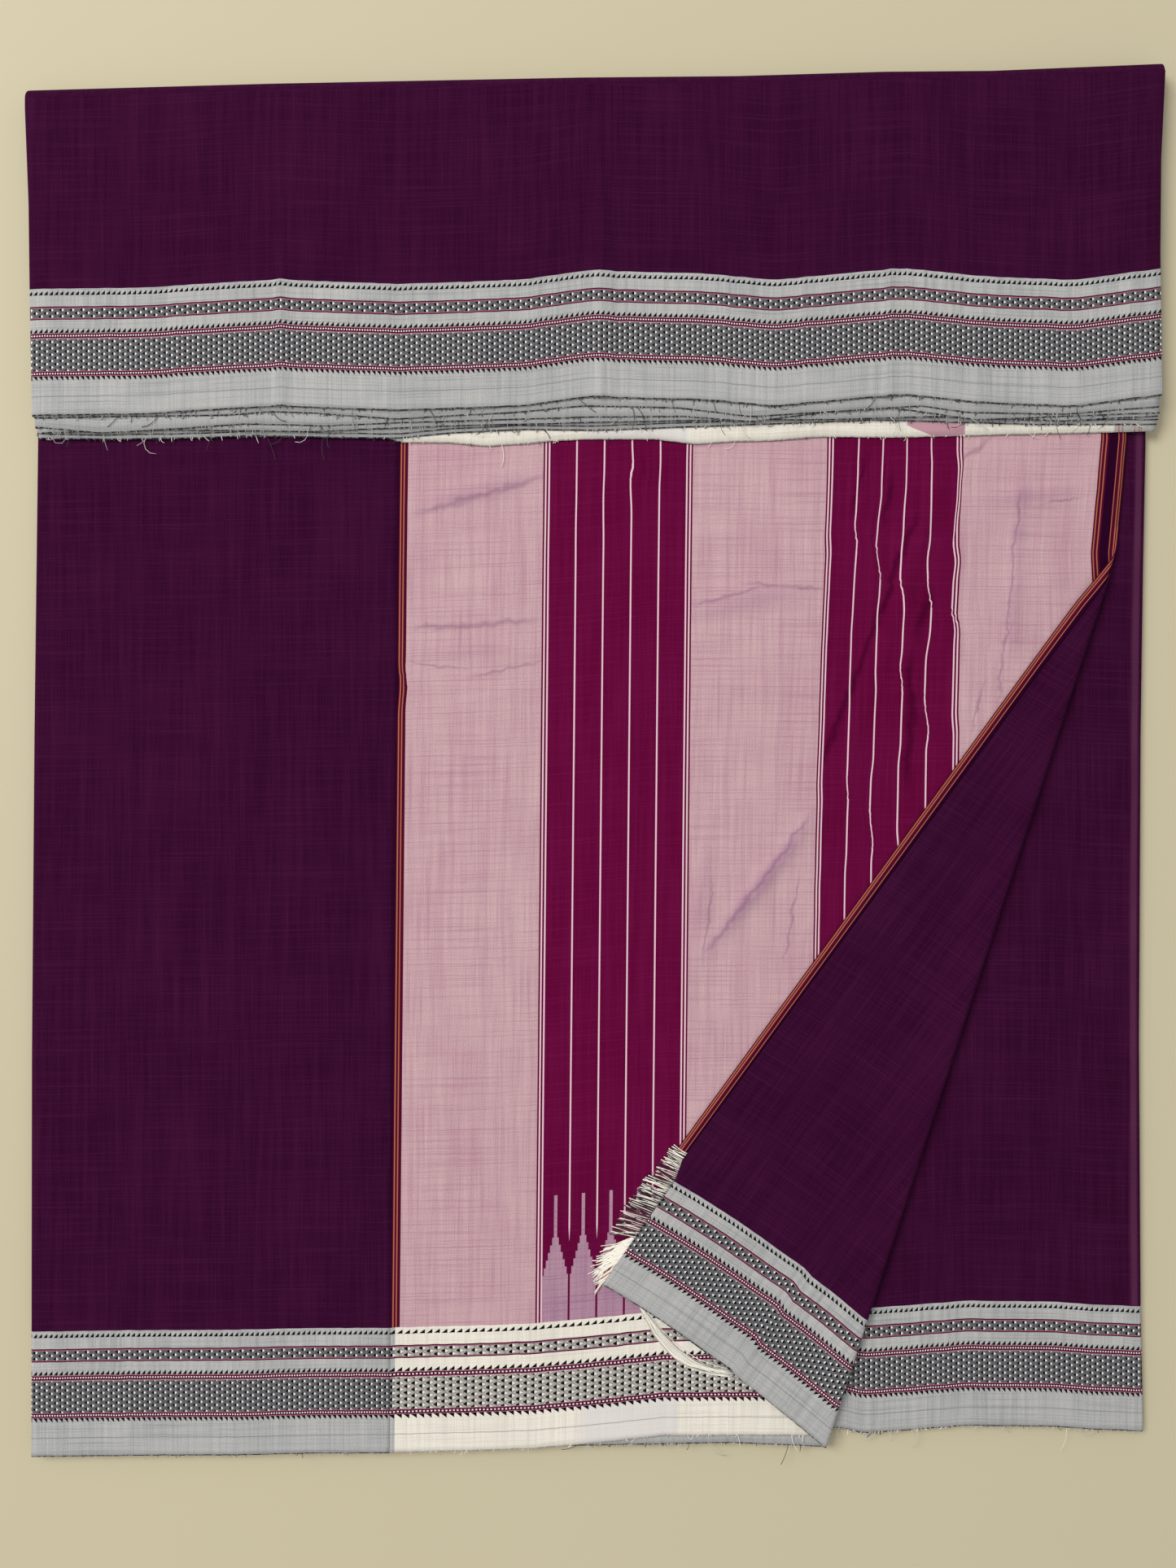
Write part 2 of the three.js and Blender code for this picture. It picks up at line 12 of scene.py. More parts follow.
import bmesh
import bpy
import numpy as np
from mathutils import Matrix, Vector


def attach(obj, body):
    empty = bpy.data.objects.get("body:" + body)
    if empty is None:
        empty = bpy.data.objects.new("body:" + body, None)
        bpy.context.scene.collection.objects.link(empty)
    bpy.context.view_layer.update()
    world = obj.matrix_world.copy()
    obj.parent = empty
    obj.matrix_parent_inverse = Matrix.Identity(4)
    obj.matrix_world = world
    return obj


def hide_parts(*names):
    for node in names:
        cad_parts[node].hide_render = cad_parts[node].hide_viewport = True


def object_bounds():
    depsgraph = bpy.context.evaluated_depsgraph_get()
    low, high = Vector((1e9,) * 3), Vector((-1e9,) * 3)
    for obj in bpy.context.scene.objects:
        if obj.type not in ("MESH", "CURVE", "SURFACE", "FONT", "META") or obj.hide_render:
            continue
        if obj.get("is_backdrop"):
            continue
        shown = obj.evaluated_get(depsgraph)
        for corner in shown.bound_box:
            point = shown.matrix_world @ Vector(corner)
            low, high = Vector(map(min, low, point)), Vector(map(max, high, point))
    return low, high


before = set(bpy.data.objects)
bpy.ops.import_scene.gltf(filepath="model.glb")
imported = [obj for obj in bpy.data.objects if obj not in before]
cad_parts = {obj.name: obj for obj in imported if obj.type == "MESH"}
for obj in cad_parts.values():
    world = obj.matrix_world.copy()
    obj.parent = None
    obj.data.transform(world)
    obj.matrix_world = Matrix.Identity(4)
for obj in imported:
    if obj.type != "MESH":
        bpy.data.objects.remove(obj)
cad_low, cad_high = (np.array(corner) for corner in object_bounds())
print("model box, m:", cad_low.round(4), cad_high.round(4))

# %% [markdown]
# ## Sizes
#
# The script works in millimetres, as the weaver does, and turns them into metres only when a mesh is
# made. The outlines are short tables: a row for each place where the cloth's edge changes direction. The
# model's origin is the middle of its box, so all places are moved by the small step between the two.

# %% Sizes in millimetres
MM = 0.001
corner_x, corner_y = 402, 491.6  # the upper fold's right corner, the cloth's largest x and y
centre_shift = np.array([cad_high[0] / MM - corner_x, cad_high[1] / MM - corner_y, 0])
wall = 0.6
bend_ahead = 8.15  # from the upper fold's outline down to the middle of its half circle
rng = np.random.default_rng(11)

# The heights of each layer's middle: on the lower panel and on the part turned down over it.
heights = {
    "outer": (0.3, 16.0), "seventh": (1.7, 14.75), "sixth": (2.65, 13.9), "fifth": (3.6, 13.05),
    "fourth": (4.5, 12.2), "right": (5.8, 11.5), "end": (7.1, 10.8), "top": (8.4, 9.8),
}


def follow(*rows):
    """A line through (at, value) rows: the value at any place, straight between rows."""
    at, value = np.array(rows, float).T
    return lambda where: np.interp(where, at, value)


def smooth(value, low, high):
    """0 below low, 1 above high, and an even S-shaped step between."""
    share = np.clip((value - low) / (high - low), 0, 1)
    return share * share * (3 - 2 * share)


left_edge = follow((-496, -401), (-213, -400.6), (18, -398.8), (226, -396.2), (420, -397))
right_edge = follow((-480, 390.7), (-398, 389), (-202, 387.8), (18, 389), (134, 390.7), (226, 392.5))
top_hem = follow((-401, -496.5), (-149, -493.6), (-44, -491), (-9, -487.8), (48, -481.5), (149, -481.5))
end_hem = follow(
    (-401, -491), (-53, -490), (16, -488.6), (97, -487), (161, -489.5), (200, -488), (255, -485.2),
    (310, -485.6), (345, -487.8), (364, -489.5))
right_hem = follow(
    (-385, -486), (100, -477), (176, -477), (191, -481), (266, -475.7), (328, -476.3), (391, -479.7))
hidden_hem = follow((-400, -488), (100, -484), (180, -473), (391, -473))
pallu_start = follow((-495, -141.6), (-386, -140.7), (133, -135.8), (226, -134.7))
fold_top = follow(
    (-402, 472.6), (-231, 477.5), (-10, 481.9), (100, 482.9), (205, 486), (280, 486.6), (402, 491.6))
fold_left = follow((240, -397), (330, -398.6), (400, -399.4), (472, -402))
fold_right = follow((240, 399.5), (345, 398), (415, 398.6), (490, 402))
outer_selvedge = follow(
    (-396, 240.4), (-314, 241.6), (-221, 247.3), (-140, 243.7), (-48, 247.5), (-6, 253.2), (74, 251.8),
    (126, 246.7), (190, 253), (220, 254.9), (271, 249.5), (337, 246.7), (398, 254.8))
border_width = 89
print("panel", round(float(right_edge(0) - left_edge(0)), 1), "mm wide,", len(heights), "layers")

# %% [markdown]
# ## From a grid to a sheet of cloth
#
# A layer of cloth is a grid of places with, at each place, the direction that its face looks in. Moving
# the grid half the wall's thickness each way gives its two faces, and a rim of quads closes them. Each
# corner also keeps its place on the flat cloth in a UV map, in millimetres, and all the woven patterns
# read that map. Solidify could thicken the grid too, but where cloth turns over itself in a radius of a
# millimetre or two, exact directions keep its walls clear of each other.

# %% Sheet maker
def sheet_mesh(name, places, facing, flat, marks=None, thickness=wall):
    """A closed mesh from grids shaped rows x columns: places and facing have 3 values, flat has 2 (mm).

    marks, from 0 to 1: painted crease shade on the pallu (partly doubled cloth showing through), a paler thin
    place on the plum."""
    rows, columns = places.shape[:2]
    facing = facing / np.linalg.norm(facing, axis=2, keepdims=True)
    both = np.stack([places + facing * thickness / 2, places - facing * thickness / 2])
    points = (both.reshape(-1, 3) + centre_shift) * MM
    number = np.arange(rows * columns).reshape(rows, columns)
    a, b, c, d = number[:-1, :-1], number[:-1, 1:], number[1:, 1:], number[1:, :-1]
    upper = np.stack([a, b, c, d], axis=-1).reshape(-1, 4)
    lower = upper[:, ::-1] + rows * columns
    ring = np.concatenate([number[0, :-1], number[:-1, -1], number[-1, :0:-1], number[:0:-1, 0]])
    after = np.roll(ring, -1)
    rim = np.stack([after, ring, ring + rows * columns, after + rows * columns], axis=-1)
    faces = np.concatenate([upper, lower, rim])
    mesh = bpy.data.meshes.new(name)
    mesh.vertices.add(len(points))
    mesh.vertices.foreach_set("co", points.astype(np.float32).ravel())
    mesh.loops.add(faces.size)
    mesh.loops.foreach_set("vertex_index", faces.astype(np.int32).ravel())
    mesh.polygons.add(len(faces))
    mesh.polygons.foreach_set("loop_start", np.arange(0, faces.size, 4, dtype=np.int32))
    mesh.update(calc_edges=True)
    cloth_uv = mesh.uv_layers.new(name="cloth")
    flat_places = np.concatenate([flat.reshape(-1, 2)] * 2)
    cloth_uv.data.foreach_set("uv", flat_places[faces.ravel()].astype(np.float32).ravel())
    mesh.polygons.foreach_set("use_smooth", np.ones(len(faces), bool))
    shade_and_sheer_marks = mesh.attributes.new("marks", "FLOAT", "POINT")
    marks = np.zeros((rows, columns)) if marks is None else marks
    shade_and_sheer_marks.data.foreach_set("value", np.concatenate([marks.ravel()] * 2).astype(np.float32))
    piece = bpy.data.objects.new(name, mesh)
    bpy.context.collection.objects.link(piece)
    work = bmesh.new()
    work.from_mesh(mesh)
    bmesh.ops.remove_doubles(work, verts=work.verts, dist=2e-6)
    bmesh.ops.recalc_face_normals(work, faces=work.faces)
    work.to_mesh(mesh)
    work.free()
    mesh.validate()
    print(name, len(mesh.polygons), "faces")
    return piece


def declare(piece, nodes=()):
    """Every piece of this cloth rides on the one body, and hides the parts of the model that it stands for.
    """
    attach(piece, "root")
    if nodes:
        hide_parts(*nodes)


# %% [markdown]
# ## Side edges that turn under
#
# Where the cloth was folded in half its side edge isn't cut: it turns round and goes on as another layer.
# A list of columns describes this. Each column knows how far in from the edge it lies, how deep below the
# surface, and which way it faces; a half circle of columns makes the turn.

# %% Columns of a layer
def columns_across(fractions, left_depth=0.0, right_depth=0.0, leg=7.0, arc=6):
    """Columns from left to right: in, depth, sideways and up directions, share of the flat part, side."""
    def turn(depth, side):
        """A half circle: in = radius (1 - sin), depth = radius (1 - cos), facing (sin, cos)."""
        if depth == 0:
            return [(0.0, 0.0, 0.0, 1.0)]
        radius = depth / 2
        sines = np.sin(np.linspace(math.pi, 0, arc + 1))
        cosines = np.cos(np.linspace(math.pi, 0, arc + 1))
        around = [(radius - radius * s, radius - radius * c, side * s, c) for s, c in zip(sines, cosines)]
        return [(radius + leg, depth, 0.0, -1.0), (radius + leg / 2, depth, 0.0, -1.0)] + around

    left = turn(left_depth, -1)
    right = turn(right_depth, 1)
    rows = [(inward, depth, sideways, up, 0.0, -1) for inward, depth, sideways, up in left]
    rows += [(0.0, 0.0, 0.0, 1.0, share, 0) for share in fractions]
    rows += [(inward, depth, sideways, up, 1.0, 1) for inward, depth, sideways, up in right[::-1]]
    keys = ("inward", "depth", "sideways", "up", "share", "side")
    columns = dict(zip(keys, np.array(rows).T))
    columns["flat_left"], columns["flat_right"] = left[-1][0], right[-1][0]
    columns["inset"] = ((wall / 2 if left_depth else 0), (wall / 2 if right_depth else 0))
    return columns


def column_x(columns, low, high):
    """X of every column between two edges: measured from an edge on a turn, shared out between them."""
    flat_low, flat_high = low + columns["flat_left"], high - columns["flat_right"]
    inside = flat_low + (flat_high - flat_low) * columns["share"]
    from_left = low + columns["inset"][0] + columns["inward"]
    from_right = high - columns["inset"][1] - columns["inward"]
    return np.where(columns["side"] < 0, from_left, np.where(columns["side"] > 0, from_right, inside))


def inner_shares(count):
    """Even shares between the edges, without the edges themselves."""
    return np.linspace(0, 1, count + 2)[1:-1]


# %% [markdown]
# ## Creases
#
# Handloom cotton keeps the marks of how it was folded before. Each crease is a soft ridge along a line:
# highest at its crown, bell-shaped across, fading at both ends. The big ones are also in the solids of the
# frame; finer ones are added here, uneven in length and height as on the real cloth.

# %% Crease functions
big_ridges = [
    # x1, y1, x2, y2, width, height
    (157, -40, 77, -141, 6, 2.4), (80, -46, 74, -127, 4, 1.3), (-131, 176, -39, 201, 7, 1.5),
    (-134, 76, -40, 74, 5, 1.0), (68, 108, 163, 119, 7, 1.5), (65, 50, 160, 48, 5, 0.9),
    (262, 206, 300, 226, 6, 1.6), (261, 180, 355, 191, 6, 1.3), (303, 192, 294, 42, 5, 1.5),
    (243, 196, 196, 40, 6, 2.2), (217, 160, 230, 30, 5, 1.7), (186, 210, 205, 70, 6, 1.8),
    (28, 222, 40, 205, 6, 1.6), (-157, 74, -156, 18, 4, 1.5), (-352, 200, -348, -120, 9, 0.9),
    (-148, -20, -148, -300, 5, 0.6),
]
fine_ridges = [
    (-134, 54, -104, 48, 3, 0.7), (-92, 38, -40, 50, 4, 0.9), (66, 101, 120, 108, 4, 0.8),
    (163, -100, 120, -196, 4, 1.1), (186, 205, 212, 176, 4, 1.2), (212, 214, 232, 150, 4, 1.1),
    (228, 120, 214, 40, 4, 1.0), (250, 130, 246, 60, 4, 0.9), (278, 90, 290, 30, 3, 0.9),
    (196, 100, 178, -30, 4, 1.2), (268, 170, 330, 150, 5, 0.9), (300, 120, 340, 128, 4, 0.8),
    (-366, 60, -362, -60, 4, 0.5), (-330, 180, -326, 80, 4, 0.4), (-300, -60, -180, -56, 5, 0.35),
    (-380, -150, -250, -146, 6, 0.4), (-240, 150, -160, 154, 5, 0.35), (-130, -20, -60, -16, 5, 0.35),
    (-120, -250, -50, -240, 6, 0.4), (-146, -380, -144, -490, 4, 0.7), (-60, -478, -52, -420, 7, 0.7),
    (10, -480, 14, -430, 7, 0.9), (80, -478, 76, -440, 7, 0.8), (-250, -488, -246, -430, 8, 0.6),
    (-340, -492, -338, -430, 8, 0.7),
]
fold_creases = [
    # x, width, height, reach up the turned-down part
    (-221, 5, 1.5, 0.75), (4, 5, 2.0, 1.0), (11, 3, 0.8, 0.9), (207, 5, 1.7, 0.85), (-292, 5, 0.7, 0.5),
    (-148, 5, 0.8, 0.5), (377, 4, 0.9, 0.6), (-340, 5, 0.5, 0.4), (-80, 6, 0.6, 0.5), (90, 6, 0.6, 0.45),
    (150, 5, 0.5, 0.4), (270, 6, 0.6, 0.5), (318, 5, 0.6, 0.5),
]
print(len(big_ridges) + len(fine_ridges), "creases on the panel,", len(fold_creases), "on the upper part")


def ridge_lift(x, y, rows):
    """Sum of bells: height x (0.35 + 0.65 sin(pi x share along)) x exp(-(distance / width) squared)."""
    lift = np.zeros(np.broadcast(x, y).shape)
    for x1, y1, x2, y2, width, height in rows:
        run_x, run_y = x2 - x1, y2 - y1
        along = np.clip(((x - x1) * run_x + (y - y1) * run_y) / (run_x ** 2 + run_y ** 2), 0, 1)
        away = np.hypot(x - x1 - along * run_x, y - y1 - along * run_y)
        lift += height * (0.35 + 0.65 * np.sin(np.pi * along)) * np.exp(-(away / width) ** 2)
    return lift


def tuck_shift(x, y, rows):
    """Cloth taken up by small tucks: half a step each way, times exp(-distance / 30) from the short line."""
    shift = np.zeros(np.broadcast(x, y).shape)
    for x1, y1, x2, y2, taken in rows:
        run = math.hypot(x2 - x1, y2 - y1)
        along = ((x - x1) * (x2 - x1) + (y - y1) * (y2 - y1)) / run
        aside = ((x - x1) * (y1 - y2) + (y - y1) * (x2 - x1)) / run
        window = smooth(along, -12, 4) * (1 - smooth(along, run - 4, run + 12))
        shift += taken * window * np.sign(aside) * smooth(np.abs(aside), 0, 4) * np.exp(-np.abs(aside) / 30)
    return shift


def ripple(x, y, size, seed):
    """Slow uneven swelling from 0 to 1: 0.5 + half the mean of six sine waves of random heading."""
    draw = np.random.default_rng(seed)
    total = np.zeros(np.broadcast(x, y).shape)
    waves = 6
    for _ in range(waves):
        heading, phase = draw.uniform(0, math.tau, 2)
        length = size * draw.uniform(0.6, 1.8)
        total += np.sin((x * math.cos(heading) + y * math.sin(heading)) * math.tau / length + phase)
    return 0.5 + total / (2 * waves)


# %% [markdown]
# ## The turned corner
#
# The two upper layers turn over a slanting line. A point of the flat cloth that lies beyond the line goes
# round a half circle and comes back mirrored, so the turned corner's outline and its woven border come
# out by themselves where the real ones are.

# %% Turning over a slanting line
turn_top = np.array([369.9, 145.1])
turn_bottom = np.array([163, -490.7])
along_turn = (turn_bottom - turn_top) / np.linalg.norm(turn_bottom - turn_top)
across_turn = np.array([-along_turn[1], along_turn[0]])
end_radius = 3.3
top_radius = 2.0
turn_centre = -0.3 - end_radius
turn_centre_height = heights["end"][0] + end_radius
settle_length = 26
turned_end_point = np.array([58.4, -276.1])
turned_end_across = np.array([0.808, -0.589])
top_end = follow((-396, 373), (-378, 372.4), (100, 372.4), (145, 370), (226, 377.4))
inner_end = follow((-486, 363.1), (-400, 364.5), (-385, 369.1), (145, 367), (226, 372))
print("turning line", round(float(np.linalg.norm(turn_bottom - turn_top))), "mm long")


def past_turned_end(x, y):
    """Distance past the turned end's line, towards the lower right."""
    from_x, from_y = x - turned_end_point[0], y - turned_end_point[1]
    return from_x * turned_end_across[0] + from_y * turned_end_across[1]


def top_lift(x, y):
    """Creases of the top layer, gone under the turned-down part and under the turned corner."""
    lift = ridge_lift(x, y, big_ridges) + ridge_lift(x, y, fine_ridges) + 0.35 * ripple(x, y, 120, 5)
    return lift * (1 - smooth(y, 196, 214)) * (1 - smooth(past_turned_end(x, y), -20, -8))


def turn_over(x, y, radius, height, settled, lift):
    """Places and facing of flat points. Before the line they stay; past it they go round a half circle,
    distance = radius sin(beyond / radius), and what is left over comes back as a mirrored plane."""
    beyond = (x - turn_top[0]) * across_turn[0] + (y - turn_top[1]) * across_turn[1] - turn_centre
    along = (x - turn_top[0]) * along_turn[0] + (y - turn_top[1]) * along_turn[1]
    arc = math.pi * radius
    angle = np.clip(beyond / radius, 0, math.pi)
    back = np.maximum(beyond - arc, 0)
    distance = np.where(beyond < 0, beyond, radius * np.sin(angle) - back)
    swollen = turn_centre_height - radius * np.cos(angle)
    lying = swollen + (settled - turn_centre_height - radius) * smooth(back, 0, settle_length)
    z = np.where(beyond < 0, height + lift, lying)
    plane = turn_top + along[..., None] * along_turn + (turn_centre + distance)[..., None] * across_turn
    places = np.concatenate([plane, z[..., None]], axis=2)
    sideways = -np.sin(angle)[..., None] * across_turn
    facing = np.concatenate([sideways, np.cos(angle)[..., None]], axis=2)
    return places, facing, back


hem_line = -490
hem_reach = 150


def bend_to_hem(row_y, hem, x):
    """Rows near the bottom bend to the layer's own hem; those above stay level."""
    return row_y + (hem(x) - hem_line) * np.maximum(0, 1 - (row_y - hem_line) / hem_reach)


def hem_wander(x, seed):
    """Slow and quick waves of a handwoven selvedge, about half a millimetre each way."""
    slow = ripple(x, np.zeros_like(x), 90, seed) - 0.5
    quick = ripple(x, np.zeros_like(x), 13, seed + 60) - 0.5
    return 0.9 * slow + 0.6 * quick


def wandering(line, seed):
    """An outline with the small waves of a handwoven selvedge: line(x) + hem_wander(x, seed)."""
    return lambda x: line(x) + hem_wander(x, seed)


# %% [markdown]
# ## Materials: the handloom ground
#
# Handloom cotton has an uneven yarn: some picks are thicker or paler than the rest and run as fine
# streaks along the cloth, and the weave shows as a fine grain. One node group makes this for every
# colour of the saree. It reads the cloth map, so the streaks follow the cloth over every fold.

# %% Colour and formula helpers
def tone(red, green, blue):
    """Screen colour 0 to 255 as the linear colour that a shader takes."""
    value = np.array([red, green, blue]) / 255
    linear = np.where(value <= 0.04045, value / 12.92, ((value + 0.055) / 1.055) ** 2.4)
    return (*linear.tolist(), 1.0)


plum = tone(40, 3, 33)
plum_pick = tone(70, 21, 58)
plum_sheer = tone(84, 40, 70)
grey = tone(195, 194, 190)
grey_pick = tone(128, 130, 136)
cream = tone(246, 240, 227)
cream_pick = tone(196, 190, 178)
cool_cream = tone(214, 209, 210)
pink = tone(210, 179, 180)
pink_pick = tone(162, 112, 134)
# Painted crease shade: the next two darken the pink along its creases, the first also where doubled cloth
# shows through.
pink_doubling_and_crease_shade = tone(136, 92, 132)
pink_crease_shade = tone(120, 76, 112)
pink_mark = tone(184, 134, 150)
magenta = tone(87, 1, 45)
magenta_pick = tone(110, 18, 68)
# Painted crease shade: the dark lines along the creases of the magenta bands.
magenta_crease_shade = tone(50, 0, 30)
lilac = tone(186, 150, 164)
lilac_pick = tone(138, 94, 128)
maroon = tone(76, 10, 40)
orange = tone(172, 98, 72)
black = tone(14, 13, 16)
white = tone(228, 226, 226)
rose = tone(156, 100, 120)
between_diamonds = tone(50, 50, 58)
hatch_grey = tone(34, 34, 40)
stripe_grey = tone(110, 110, 116)
dot_white = tone(236, 226, 228)
band_white = tone(224, 190, 200)
band_maroon = tone(94, 6, 50)
worn_grey_edge = tone(46, 44, 50)
worn_cream_edge = tone(176, 166, 156)


class Weaver:
    """Adds nodes to a tree so that a woven pattern can be written as arithmetic on sockets.

    A mask is 0 or 1: under, over, within and near make one by comparing, bands joins several stripes, both
    is the product of masks and either their greatest. remap takes one range to another and stops there;
    mix is low x (1 - mask) + high x mask."""

    def __init__(self, tree):
        self.tree = tree

    def math(self, operation, *inputs):
        node = self.tree.nodes.new("ShaderNodeMath")
        node.operation = operation
        for socket, value in zip(node.inputs, inputs):
            self.put(socket, value)
        return node.outputs[0]

    def put(self, socket, value):
        if isinstance(value, bpy.types.NodeSocket):
            self.tree.links.new(value, socket)
        else:
            socket.default_value = value

    def add(self, a, b):
        return self.math("ADD", a, b)

    def sub(self, a, b):
        return self.math("SUBTRACT", a, b)

    def mul(self, a, b):
        return self.math("MULTIPLY", a, b)

    def both(self, *masks):
        total = masks[0]
        for mask in masks[1:]:
            total = self.mul(total, mask)
        return total

    def either(self, *masks):
        total = masks[0]
        for mask in masks[1:]:
            total = self.math("MAXIMUM", total, mask)
        return total

    def under(self, a, b):
        return self.math("LESS_THAN", a, b)

    def over(self, a, b):
        return self.math("GREATER_THAN", a, b)

    def within(self, value, low, high):
        return self.mul(self.over(value, low), self.under(value, high))

    def bands(self, value, *stripes):
        return self.either(*(self.within(value, low, high) for low, high in stripes))

    def near(self, value, centre, half):
        return self.under(self.math("ABSOLUTE", self.sub(value, centre)), half)

    def fract(self, value):
        return self.math("FRACT", value)

    def mix(self, low, high, mask):
        node = self.tree.nodes.new("ShaderNodeMix")
        node.data_type = "RGBA"
        self.put(node.inputs["Factor"], mask)
        self.put(node.inputs[6], low)
        self.put(node.inputs[7], high)
        return node.outputs[2]

    def noise(self, x, y, scale=1.0, detail=2.0):
        place = self.tree.nodes.new("ShaderNodeCombineXYZ")
        self.put(place.inputs[0], x)
        self.put(place.inputs[1], y)
        node = self.tree.nodes.new("ShaderNodeTexNoise")
        self.tree.links.new(place.outputs[0], node.inputs["Vector"])
        node.inputs["Scale"].default_value = scale
        node.inputs["Detail"].default_value = detail
        return node.outputs["Fac"]

    def remap(self, value, low, high, to_low=0.0, to_high=1.0):
        node = self.tree.nodes.new("ShaderNodeMapRange")
        self.put(node.inputs["Value"], value)
        for key, number in (("From Min", low), ("From Max", high), ("To Min", to_low), ("To Max", to_high)):
            node.inputs[key].default_value = number
        return node.outputs["Result"]


def new_group(name, inputs, outputs):
    """A node group with named sockets: inputs and outputs are (name, kind) pairs."""
    print("node group:", name)
    group = bpy.data.node_groups.new(name, "ShaderNodeTree")
    for direction, sockets in (("INPUT", inputs), ("OUTPUT", outputs)):
        for socket_name, kind in sockets:
            group.interface.new_socket(socket_name, in_out=direction, socket_type=kind)
    start = group.nodes.new("NodeGroupInput")
    end = group.nodes.new("NodeGroupOutput")
    return group, Weaver(group), start.outputs, end.inputs


FLOAT, COLOUR = "NodeSocketFloat", "NodeSocketColor"

# %% Handloom ground group
loom, w, given, result = new_group(
    "handloom ground",
    [("Along", FLOAT), ("Across", FLOAT), ("Ground", COLOUR), ("Pick", COLOUR), ("Slubs", FLOAT)],
    [("Colour", COLOUR), ("Height", FLOAT)])
along, across = given["Along"], given["Across"]
streaks = w.noise(w.mul(along, 0.012), w.mul(across, 0.9), 1.0, 3.0)
slubs = w.noise(w.mul(along, 0.035), w.mul(across, 1.9), 1.0, 2.0)
warps = w.noise(w.mul(along, 1.1), w.mul(across, 0.02), 1.0, 3.0)
cloudy = w.noise(w.mul(along, 0.02), w.mul(across, 0.02), 1.0, 2.0)
streak_mask = w.mul(w.remap(streaks, 0.5, 0.7), 0.5)
slub_mask = w.mul(w.remap(slubs, 0.66, 0.74), given["Slubs"])
tinted = w.mix(given["Ground"], given["Pick"], w.either(streak_mask, slub_mask))
grain = w.noise(w.mul(along, 1.7), w.mul(across, 1.7), 1.0, 1.0)
bars = w.noise(w.mul(along, 0.24), w.mul(across, 0.007), 1.0, 2.0)
warp_tint = w.add(w.mul(w.remap(warps, 0.42, 0.7), 0.26), w.mul(w.remap(bars, 0.42, 0.7), 0.2))
cloud_tint = w.add(w.mul(w.remap(cloudy, 0.4, 0.7), 0.12), w.mul(w.remap(grain, 0.36, 0.66), 0.42))
w.put(result["Colour"], w.mix(tinted, given["Pick"], w.add(warp_tint, cloud_tint)))
yarn = 0.45
weave_x = w.math("SINE", w.mul(along, math.tau / yarn))
weave_y = w.math("SINE", w.mul(across, math.tau / yarn))
weave = w.mul(w.mul(weave_x, weave_y), 0.12)
w.put(result["Height"], w.add(weave, w.add(w.mul(streaks, 0.6), w.mul(slub_mask, 0.6))))

# %% [markdown]
# ## The woven border
#
# The border is a traditional one of extra warp threads: rows of small right-angled triangles, plain
# stripes, dotted maroon bands, and a lattice of diamonds, each half black and half white. It repeats along
# the cloth, so it is charted as arithmetic on two numbers: how far out from the plum ground a point
# lies, and how far along the cloth. An image would do the same, but a formula has no resolution.

# %% Border group
border, w, given, result = new_group(
    "woven border",
    [("Along", FLOAT), ("Out", FLOAT), ("Pitch", FLOAT), ("Depth", FLOAT),
     ("Ground", COLOUR), ("Shade", COLOUR), ("Worn edge", COLOUR)],
    [("Colour", COLOUR), ("Raised", FLOAT)])
out, step = given["Out"], w.math("DIVIDE", given["Along"], given["Pitch"])
saw = w.fract(step)
tooth_share, tooth_height = 0.8, 3.1
tooth = w.mul(w.under(saw, tooth_share), w.mul(saw, tooth_height / tooth_share))
rising_a = w.both(w.within(out, 1.8, 4.6), w.under(w.sub(4.6, out), tooth))
rising_b = w.both(w.within(out, 28.0, 31.2), w.under(w.sub(31.2, out), tooth))
hanging = w.both(w.within(out, 61.7, 64.8), w.under(w.sub(out, 61.7), tooth))
teeth = w.either(rising_a, rising_b, hanging)

row_pitch = 4.48
odd = w.math("FLOOR", w.math("FLOORED_MODULO", step, 2.0))
row = w.add(w.math("DIVIDE", out, row_pitch), w.add(w.mul(odd, 0.5), 0.64))
off_row = w.math("ABSOLUTE", w.sub(w.fract(row), 0.5))
off_tip = w.sub(saw, 0.52)
side = w.mul(w.math("ABSOLUTE", off_tip), 0.62)
diamond = w.add(off_row, side)
inside = w.under(diamond, 0.37)
black_half = w.mul(inside, w.under(off_tip, 0.0))
white_half = w.mul(w.under(diamond, 0.27), w.over(off_tip, 0.0))
hatch = w.bands(diamond, (0.39, 0.43), (0.5, 0.54))
glint = w.within(diamond, 0.44, 0.48)
lattice_zone = w.bands(out, (14.0, 20.6), (35.5, 57.9))
ground = given["Ground"]
lattice = w.mix(w.mix(ground, between_diamonds, given["Depth"]), hatch_grey, hatch)
lattice = w.mix(lattice, given["Shade"], w.mul(glint, 0.35))
lattice = w.mix(lattice, white, white_half)
lattice = w.mix(lattice, black, black_half)

rose_lines = w.bands(out, (13.4, 14.0), (20.6, 21.1), (31.3, 31.8), (34.7, 35.3), (57.9, 58.4), (61.2, 61.7))
maroon_lines = w.bands(out, (12.5, 13.4), (21.1, 21.9), (31.8, 34.7), (58.4, 61.2))
dot_along = w.near(w.fract(w.mul(step, 2.0)), 0.5, 0.24)
dots = w.both(dot_along, w.either(w.near(out, 33.2, 0.5), w.near(out, 59.8, 0.5)))
thread = w.mul(w.near(out, 75.8, 0.35), 0.5)
colour = w.mix(ground, stripe_grey, thread)
worn = w.remap(w.noise(w.mul(given["Along"], 0.55), 0.5, 1.0, 2.0), 0.38, 0.56, 0.35, 1.0)
colour = w.mix(colour, given["Worn edge"], w.mul(w.over(out, border_width - 0.7), worn))
colour = w.mix(colour, lattice, lattice_zone)
colour = w.mix(colour, maroon, maroon_lines)
colour = w.mix(colour, rose, rose_lines)
colour = w.mix(colour, dot_white, dots)
colour = w.mix(colour, black, teeth)
w.put(result["Colour"], colour)
w.put(result["Raised"], w.either(teeth, maroon_lines, w.mul(lattice_zone, w.either(inside, hatch))))

